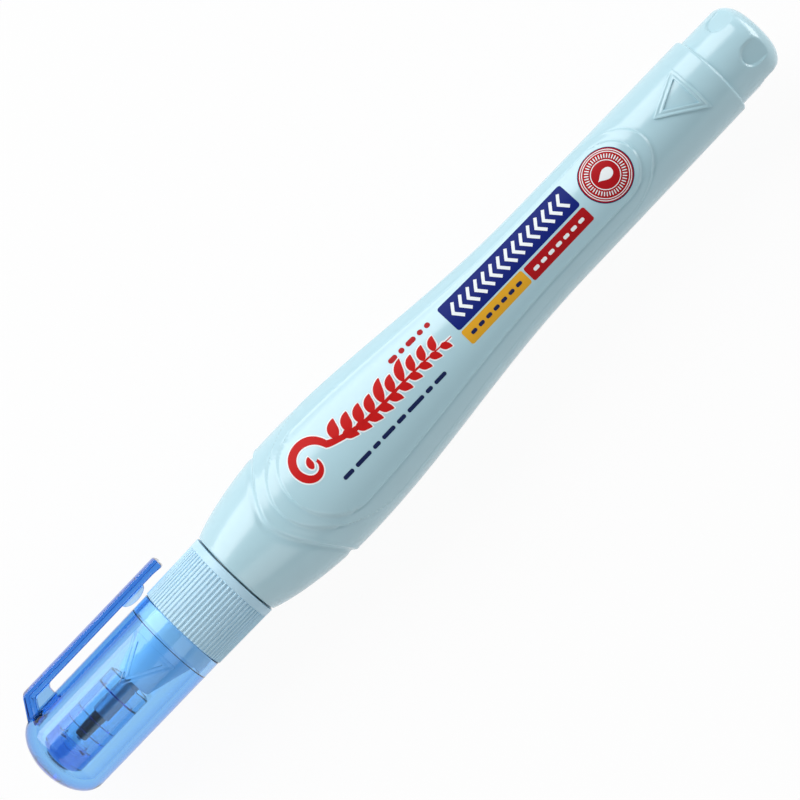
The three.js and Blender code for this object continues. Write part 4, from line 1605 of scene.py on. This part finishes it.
@dataclass
class LabelPrint:
    """The ink on the label panel: colour blocks, a leaf band, rules and a round seal."""

    bottle: SqueezeBottle
    lift: float = 0.015
    ink: float = 0.02
    seal_at: Pair = (75.9, 0.05)
    seal_radius: float = 4.0
    tick_count: int = 44
    chevron_count: int = 15
    chevron_from: Pair = (47.35, 1.92)
    chevron_step: Pair = (0.5, 0.65)
    pitch: float = 1.5
    leaf_count: int = 10
    leaf_from: float = 23.6
    leaf_pitch: float = 2.02
    leaf_shrink: float = 0.028
    tall_leaves: tuple[int, int] = (4, 6)
    tall_share: float = 1.35

    def sheet(self, name: str, grid: np.ndarray, layer: int = 1, closed: bool = False) -> Piece:
        """Lays a grid of x, side points on the label face as a thin closed film.

        Args:
            name: the piece's name.
            grid: array of rows by columns by 2, in millimetres.
            layer: which ink layer it is, counted from the plastic.
            closed: True if the last row meets the first.

        Returns:
            The film.
        """
        rows, columns = grid.shape[:2]
        top = self.lift + (layer - 1) * self.ink
        x, side = grid.reshape(-1, 2).T
        lifts, shape = (top, top - 1.5 * self.ink), (rows, columns, 3)
        high, low = (self.bottle.skin(x, side, lift).reshape(shape) for lift in lifts)
        loops = np.concatenate([high, low[:, ::-1]], axis=1)
        if closed:
            loops = np.concatenate([loops, loops[:1]])
        faces = ring_faces(len(loops), 2 * columns)
        for base in () if closed else (0, (rows - 1) * 2 * columns):
            for column in range(columns - 1):
                far = base + 2 * columns - 1 - column
                faces.append((base + column, base + column + 1, far - 1, far))
        return link_mesh(name, self.bottle.datum.place(loops.reshape(-1, 3)), faces, sharp=60.0)

    def bar(self, name: str, x: Pair, side: Pair, corner: float, layer: int = 1) -> Piece:
        """Prints a bar with rounded corners.

        Args:
            name: the piece's name.
            x: its front and back end.
            side: its lower and upper edge round the face.
            corner: its corner radius.
            layer: which ink layer it is.

        Returns:
            The film.
        """
        (start, end), height = x, side[1] - side[0]
        radius = min(corner, height / 2, (end - start) / 2)
        curve = radius * (1 - np.cos(arc_steps(7)))
        straight = np.arange(start + radius, end - radius, 0.5)
        places = np.unique(np.concatenate([start + curve, straight, end - curve]))
        into = np.maximum(0, radius - np.minimum(places - start, end - places))
        inset = radius - np.sqrt(np.maximum(radius**2 - into**2, 0))
        inset = np.minimum(inset, height / 2 - 0.004)[:, None]
        rows = side[0] + inset + (height - 2 * inset) * np.linspace(0, 1, max(3, int(height / 0.3) + 2))
        return self.sheet(name, np.stack([np.broadcast_to(places[:, None], rows.shape), rows], -1), layer)

    def dashes(self, name: str, spans: Profile, side: Pair, corner: float, layer: int = 1) -> Piece:
        """Prints a row of bars, given by their starts and lengths, as one piece."""
        bars = [self.bar("bar", (start, start + length), side, corner, layer) for start, length in spans]
        return merged(name, bars)

    def ring(self, inner: float, outer: float, layer: int) -> Piece:
        """Prints a ring round the seal's centre, from its inner and outer radius.

        Args:
            inner: its inner radius.
            outer: its outer radius.
            layer: which ink layer it is.

        Returns:
            The film.
        """
        angles = np.linspace(0, TURN, 120, endpoint=False)[:, None]
        radii = np.linspace(inner, outer, max(3, int((outer - inner) / 0.25) + 2))
        grid = np.stack([np.cos(angles) * radii, np.sin(angles) * radii], -1) + self.seal_at
        return self.sheet("ring", grid, layer, closed=True)

    def stroke(self, path: np.ndarray, half: np.ndarray, layer: int = 1) -> Piece:
        """Prints a stroke of changing width.

        Args:
            path: rows of x, side along its middle.
            half: its half width at each row.
            layer: which ink layer it is.

        Returns:
            The film.
        """
        heading = np.gradient(path, axis=0)
        heading /= np.linalg.norm(heading, axis=1, keepdims=True)
        across = np.column_stack([-heading[:, 1], heading[:, 0]])
        offsets = half[:, None] * np.linspace(-1, 1, 6)
        return self.sheet("stroke", path[:, None, :] + across[:, None, :] * offsets[..., None], layer)

    def leaf(self, foot: Pair, size: Pair, lean: float, grow: float, layer: int) -> Piece:
        """Prints a leaf.

        Args:
            foot: x, side of its foot.
            size: its length and its greatest half width.
            lean: its lean towards the tail, in degrees.
            grow: how far it is grown all round.
            layer: which ink layer it is.

        Returns:
            The film.
        """
        share, turn = np.linspace(0, 1, 40), math.radians(lean)
        along = -grow + (size[0] + 2 * grow) * share
        bow = 0.1 * size[0] * np.sin(math.pi * share)
        x = foot[0] + along * math.sin(turn) - bow * math.cos(turn)
        side = foot[1] + along * math.cos(turn) + bow * math.sin(turn)
        width = (size[1] + grow) * np.sin(math.pi * share**0.8) ** 0.8 + 0.01
        return self.stroke(np.column_stack([x, side]), width, layer)

    def leaf_band(self, name: str, grow: float, layer: int) -> Piece:
        """Prints the leaf band: a scroll with a bud, then a laurel branch.

        Args:
            name: the piece's name.
            grow: how far every form is grown all round.
            layer: which ink layer it is.

        Returns:
            The band.
        """
        first, last, eye = 4.6, -1.45, (18.6, 1.35)
        turn, share = np.linspace(first, last, 110), np.linspace(0, 1, 140)
        reach = np.interp(turn, (last, first), (3.5, 0.95))
        scroll = np.column_stack([eye[0] - reach * np.sin(turn), eye[1] + reach * np.cos(turn)])
        drop = 1.75 * np.exp(-5.5 * share) - 0.15 * np.sin(7 * share)
        stem = np.column_stack([scroll[-1, 0] + 22.75 * share - 0.1 * np.sin(math.pi * share), drop])
        stem[:, 1] += scroll[-1, 1] - stem[0, 1]
        line = np.vstack([scroll, stem[1:]])
        run = np.concatenate([[0], np.cumsum(np.hypot(*np.diff(line, axis=0).T))])
        swell = np.interp(run / run[-1], (0, 0.12, 0.3, 0.42, 0.55, 1), (0.22, 0.58, 0.62, 0.4, 0.28, 0.06))
        parts = [
            self.stroke(line, swell + grow, layer),
            self.leaf((18.45, 0.75), (1.7, 0.5), 20.0, grow, layer),
        ]
        for index in range(self.leaf_count):
            x, size = self.leaf_from + self.leaf_pitch * index, 1.0 - self.leaf_shrink * index
            root = float(np.interp(x, stem[:, 0], stem[:, 1]))
            tall = self.tall_share if index in self.tall_leaves else 1.0
            parts += [
                self.leaf((x, root + 0.1), (2.85 * size * tall, 0.8 * size), 36.0, grow, layer),
                self.leaf((x + 0.9, root - 0.1), (2.3 * size, 0.68 * size), 128.0, grow, layer),
            ]
        return merged(name, parts)

    def chevrons(self, name: str) -> Piece:
        """Prints the row of chevrons that points to the tip.

        Args:
            name: the piece's name.

        Returns:
            The chevrons.
        """
        parts, half = [], np.array([0.24, 0.24, 0.3, 0.24, 0.24])
        along, across = self.chevron_step
        for index in range(self.chevron_count):
            steps = np.arange(-2, 3)
            path = np.column_stack([self.pitch * index + along * np.abs(steps), across * steps])
            path += self.chevron_from
            parts.append(self.stroke(path, half, 2))
        return merged(name, parts)

    def ticks(self, name: str, material: Material) -> Piece:
        """Prints the seal's ticks with a geometry tree that wraps them round the face.

        Args:
            name: the piece's name.
            material: the ticks' ink.

        Returns:
            All the ticks as one piece.
        """
        datum, (x, side) = self.bottle.datum, self.seal_at
        crown = self.bottle.skin(np.array([x]), np.array([0.0]), self.lift + 2 * self.ink)[0, 2]
        sizes = {
            "Ring Radius": 2.72 / MM,
            "Length": 0.62 / MM,
            "Width": 0.15 / MM,
            "Thickness": 1.5 * self.ink / MM,
            "Centre": datum.shoulder_x + x / MM,
            "Side": side / MM,
            "Wrap Radius": float(crown) / MM,
            "Axis Height": datum.axis_z,
        }
        tree = CopyTree("seal_ticks", self.tick_count, sizes)
        given, ways = tree.given, ("COSINE", "SINE")
        size = tree.vector(given["Length"], given["Width"], given["Thickness"])
        tick = tree.out("GeometryNodeMeshCube", {"Size": size, "Vertices X": 4})
        spot = [tree.math("MULTIPLY", tree.math(way, tree.angle), given["Ring Radius"]) for way in ways]
        real = tree.copies(tick, tree.vector(z=tree.angle), tree.vector(*spot))
        flat = tree.add("ShaderNodeSeparateXYZ", {0: tree.out("GeometryNodeInputPosition")}).outputs
        turn = tree.math("DIVIDE", tree.math("ADD", flat[1], given["Side"]), given["Wrap Radius"])
        radius = tree.math("ADD", given["Wrap Radius"], flat[2])
        high, wide = (tree.math(way, turn) for way in ways)
        wrapped = tree.vector(
            tree.math("ADD", flat[0], given["Centre"]),
            tree.math("MULTIPLY", wide, radius),
            tree.math("MULTIPLY_ADD", high, radius, given["Axis Height"]),
        )
        laid = tree.out("GeometryNodeSetPosition", {"Geometry": real, "Position": wrapped})
        return tree.piece(name, laid, material)

    def drop(self) -> Piece:
        """Prints the drop in the middle of the seal.

        Returns:
            The film.
        """
        length, round_end, share = 2.7, 0.95, np.linspace(0, 1, 48)
        past = share * length - round_end
        belly = np.sqrt(np.maximum(round_end**2 - past**2, 0))
        taper = round_end * np.cos(np.clip(past / (length - round_end), 0, 1) * math.pi / 2) ** 1.5
        path = np.column_stack([1.2 - length * share, np.zeros(len(share))]) + self.seal_at
        return self.stroke(path, np.where(past < 0, belly, taper) * 0.85 + 0.01, 2)

    def print_all(self, inks: dict[Ink, Material]) -> None:
        """Prints and dresses every form on the label panel, in the inks' materials.

        Args:
            inks: material of each ink.
        """
        lengths = (1.9, 2.9, 1.3, 2.4, 1.6, 3.1, 1.2, 2.2)
        starts = 20.3 + np.concatenate([[0], np.cumsum(np.array(lengths[:-1]) + 0.55)])
        small = ((36.2, 1.5), (38.2, 0.9), (39.6, 1.7), (41.8, 0.9), (43.2, 0.9))
        amber, red = ([(first + self.pitch * index, 1.0) for index in range(7)] for first in (47.1, 59.45))
        seal = self.seal_radius
        forms = [
            (self.bar("print_blue_block", (46.1, 70.5), (-0.36, 4.15), 0.45), Ink.BLUE),
            (self.bar("print_amber_block", (46.1, 58.15), (-2.92, -0.59), 0.35), Ink.AMBER),
            (self.bar("print_red_block", (58.45, 70.5), (-3.11, -0.73), 0.35), Ink.RED),
            (self.chevrons("print_chevrons"), Ink.WHITE),
            (self.dashes("print_amber_dashes", amber, (-2.02, -1.5), 0.24, 2), Ink.NAVY),
            (self.dashes("print_red_dashes", red, (-2.2, -1.68), 0.24, 2), Ink.WHITE),
            (self.leaf_band("print_leaf_ground", 0.2, 1), Ink.WHITE),
            (self.leaf_band("print_leaves", 0.0, 2), Ink.SCARLET),
            (self.dashes("print_navy_rules", list(zip(starts, lengths)), (-3.05, -2.5), 0.27), Ink.NAVY),
            (self.dashes("print_small_dashes", small, (3.05, 3.85), 0.4), Ink.RED),
            (merged("print_seal_disc", [self.ring(0.02, seal - 0.08, 1)]), Ink.RED),
            (merged("print_seal_edge", [self.ring(seal - 0.1, seal + 0.04, 1)]), Ink.NAVY),
            (merged("print_seal_rings", [self.ring(r, r + 0.12, 2) for r in (2.05, 3.3, 3.6)]), Ink.WHITE),
            (merged("print_seal_drop", [self.drop()]), Ink.WHITE),
            (self.ticks("print_seal_ticks", inks[Ink.WHITE]), Ink.WHITE),
        ]
        for piece, ink in forms:
            dressed(piece, Body.PEN, Slot.BOTTLE, inks[ink])


@dataclass
class Studio:
    """The pale floor, the soft lights and the camera over the pen, in metres and degrees."""

    datum: Datum
    floor_half: float = 1.5
    view_distance: float = 0.52
    view_width: float = 0.11268
    image_turn: float = 46.34
    roll: float = 8.0
    aside: float = 0.00011
    room_light: float = 0.31
    wall_white: float = 0.97
    wall_fade: Pair = (0.3, 0.45)
    floor_white: float = 0.94

    def seen_rays(self, canvas: NodeCanvas) -> Socket:
        """A socket that is 1 for the rays that show the background, and 0 for those that light the pen.

        Args:
            canvas: the tree that asks for it.

        Returns:
            The socket.
        """
        path = canvas.add("ShaderNodeLightPath").outputs
        seen = canvas.math("MAXIMUM", path["Is Camera Ray"], path["Is Glossy Ray"])
        return canvas.math("MAXIMUM", seen, path["Is Transmission Ray"])

    def floor(self) -> None:
        """Lays the floor and its white material, which keeps the pen's shadow."""
        half = self.floor_half
        mesh = bpy.data.meshes.new("floor")
        corners = [(-half, -half, 0.0), (half, -half, 0.0), (half, half, 0.0), (-half, half, 0.0)]
        mesh.from_pydata(corners, [], [(0, 1, 2, 3)])
        material, canvas = new_material("floor_paper")
        ways = {
            0: canvas.math("MULTIPLY", self.seen_rays(canvas), self.floor_white),
            1: canvas.out("ShaderNodeBsdfDiffuse", {"Color": (0.82, 0.83, 0.84, 1.0)}),
            2: canvas.out("ShaderNodeEmission", {"Color": WHITE, "Strength": 1.0}),
        }
        canvas.add("ShaderNodeOutputMaterial", {"Surface": canvas.out("ShaderNodeMixShader", ways)})
        mesh.materials.append(material)
        link("floor", mesh)

    def world(self) -> None:
        """Sets the pale room round the pen, with walls that are white where they are seen."""
        world = bpy.data.worlds.new("studio")
        bpy.context.scene.world = world
        world.use_nodes = True
        world.node_tree.nodes.clear()
        canvas = NodeCanvas(world.node_tree)
        heading = canvas.add("ShaderNodeTexCoord").outputs["Generated"]
        height = canvas.add("ShaderNodeSeparateXYZ", {0: heading}).outputs[2]
        low, high = self.wall_fade
        fade = {"Value": height, "From Min": low, "From Max": high, "To Min": 1.0, "To Max": 0.0}
        wall = canvas.math("MULTIPLY", self.seen_rays(canvas), canvas.out("ShaderNodeMapRange", fade))
        levels = {"Value": wall, "To Min": self.room_light, "To Max": self.wall_white}
        strength = canvas.out("ShaderNodeMapRange", levels)
        sky = canvas.out("ShaderNodeBackground", {"Color": WHITE, "Strength": strength})
        canvas.add("ShaderNodeOutputWorld", {"Surface": sky})

    def hung(self, made: Piece, way: Vector, axes: Sequence[Vector]) -> None:
        """Places a lamp or the camera by its way from the pen's axis and its own axes."""
        place = Matrix.Translation(Vector((0, 0, self.datum.axis_z)) + way)
        made.matrix_world = place @ Matrix(axes).transposed().to_4x4()

    def softbox(self, name: str, direction: Sequence, distance: float, size: Pair, power: float) -> None:
        """Hangs a softbox that faces the pen.

        Args:
            name: the light's name.
            direction: from the pen to the light.
            distance: in metres.
            size: its length along the pen and its width, in metres.
            power: in watts.
        """
        light = bpy.data.lights.new(name, "AREA")
        light.shape, light.energy = "RECTANGLE", power
        light.size, light.size_y = size
        towards = Vector(direction).normalized()
        across = towards.cross(Vector((1, 0, 0))).normalized()
        along = across.cross(towards).normalized()
        self.hung(link(name, light), towards * distance, (along, towards.cross(along), towards))

    def camera(self) -> None:
        """Sets the camera over the label face, rolled round the pen and turned as in the photograph."""
        data = bpy.data.cameras.new("camera")
        data.lens = data.sensor_width * self.view_distance / self.view_width
        data.clip_start, data.clip_end = 0.01, 10.0
        roll, turn = math.radians(self.roll), math.radians(self.image_turn)
        away = Vector((0, -math.sin(roll), math.cos(roll)))
        across, along = Vector((0, math.cos(roll), math.sin(roll))), Vector((1, 0, 0))
        right = along * math.cos(turn) - across * math.sin(turn)
        up = along * math.sin(turn) + across * math.cos(turn)
        camera = link("camera", data)
        self.hung(camera, away * self.view_distance + across * self.aside, (right, up, away))
        bpy.context.scene.camera = camera

    def build(self) -> None:
        """Builds the whole studio."""
        self.floor()
        self.world()
        self.softbox("key", (-0.18, 0.78, 0.6), 0.55, (0.74, 0.46), 3.35)
        self.softbox("fill", (-0.6, -0.55, 0.75), 0.36, (0.3, 0.25), 0.26)
        self.softbox("tail", (1.0, 0.08, 0.1), 0.5, (0.2, 0.5), 1.5)
        self.camera()
        bpy.context.scene.view_settings.view_transform = "Standard"


def main() -> None:
    """Builds the dressed pen in its studio."""
    logging.basicConfig(level=logging.INFO, format="%(name)s: %(message)s")
    datum = Datum.from_frame()
    surface, marks = moulded_surface_group(), turned_marks_group()
    blown = MouldedPlastic(
        "bottle_plastic", (0.425, 0.645, 0.725), 0.22, gloss_drift=0.03, scuff=0.02, shine=0.9
    ).build(surface)
    moulded = MouldedPlastic("holder_plastic", (0.48, 0.71, 0.85), 0.36).build(surface)
    natural = MouldedPlastic("natural_plastic", (0.7, 0.73, 0.7), 0.45).build(surface)
    steel = TurnedMetal("tip_steel", (0.25, 0.3, 0.36), 0.4).build(marks)
    # Painted shade: the nose belongs to the same steel tip, and gets a near-black copy of its steel in place
    # of the dark reflections it shows.
    shaded_tip_steel = TurnedMetal("tip_steel_painted_shade", (0.015, 0.015, 0.02), 0.3).build(marks)
    wire = TurnedMetal("spring_steel", (0.42, 0.43, 0.45), 0.3).build(marks)
    ball_steel = TurnedMetal("ball_steel", (0.5, 0.51, 0.53), 0.12, 0.0002).build(marks)
    pale = (0.61, 0.81, 0.965)
    clear = ClearPlastic("clear_blue_plastic", pale, axis_z=datum.axis_z, core=0.0037).build()
    # Painted shade: the clip is one moulding with the cap, but gets a deeper-tinted copy of its plastic and
    # a darker painted edge shade, so it reads darker.
    deep = ClearPlastic("clip_plastic_painted_shade", (0.48, 0.7, 0.93), rim=(0.3, 0.5, 0.9)).build()
    inks = {}
    for ink in Ink:
        film = MouldedPlastic(f"ink_{ink.name.lower()}", ink.value, 0.4, grain=0.0002, shine=0.1)
        inks[ink] = film.build(surface)

    bottle, holder = SqueezeBottle(datum), TipHolder(datum)
    tip = ValveTip(datum, holder)
    cap, spring = Cap(datum, holder, tip), ValveSpring.from_frame(datum)
    dressed(bottle.build(), Body.PEN, Slot.BOTTLE, blown, "squeeze_bottle")
    dressed(bottle.mark(), Body.PEN, Slot.BOTTLE, blown)
    dressed(holder.core(), Body.PEN, Slot.HOLDER, moulded, "tip_holder")
    dressed(holder.ribs(moulded), Body.PEN, Slot.HOLDER, moulded)
    dressed(tip.tube(), Body.PEN, Slot.TIP, steel, "metal_tip")
    dressed(tip.nose(), Body.PEN, Slot.TIP, shaded_tip_steel)
    dressed(tip.needle(), Body.NEEDLE, Slot.NEEDLE, steel, "valve_needle")
    dressed(cap.build(), Body.CAP, Slot.CAP, clear, "cap")
    dressed(cap.clip(), Body.CAP, Slot.CAP, deep)
    spring.give(dressed(spring.build(), Body.PEN, Slot.SPRING, wire, "valve_spring"))
    for name, material in (("spring_seat", natural), ("mixing_ball", ball_steel)):
        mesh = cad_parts[name].data
        mesh.materials.clear()
        mesh.materials.append(material)
        LOG.info("%s: packed solid kept", name)
    LabelPrint(bottle).print_all(inks)
    Studio(datum).build()


if __name__ == "__main__":
    main()
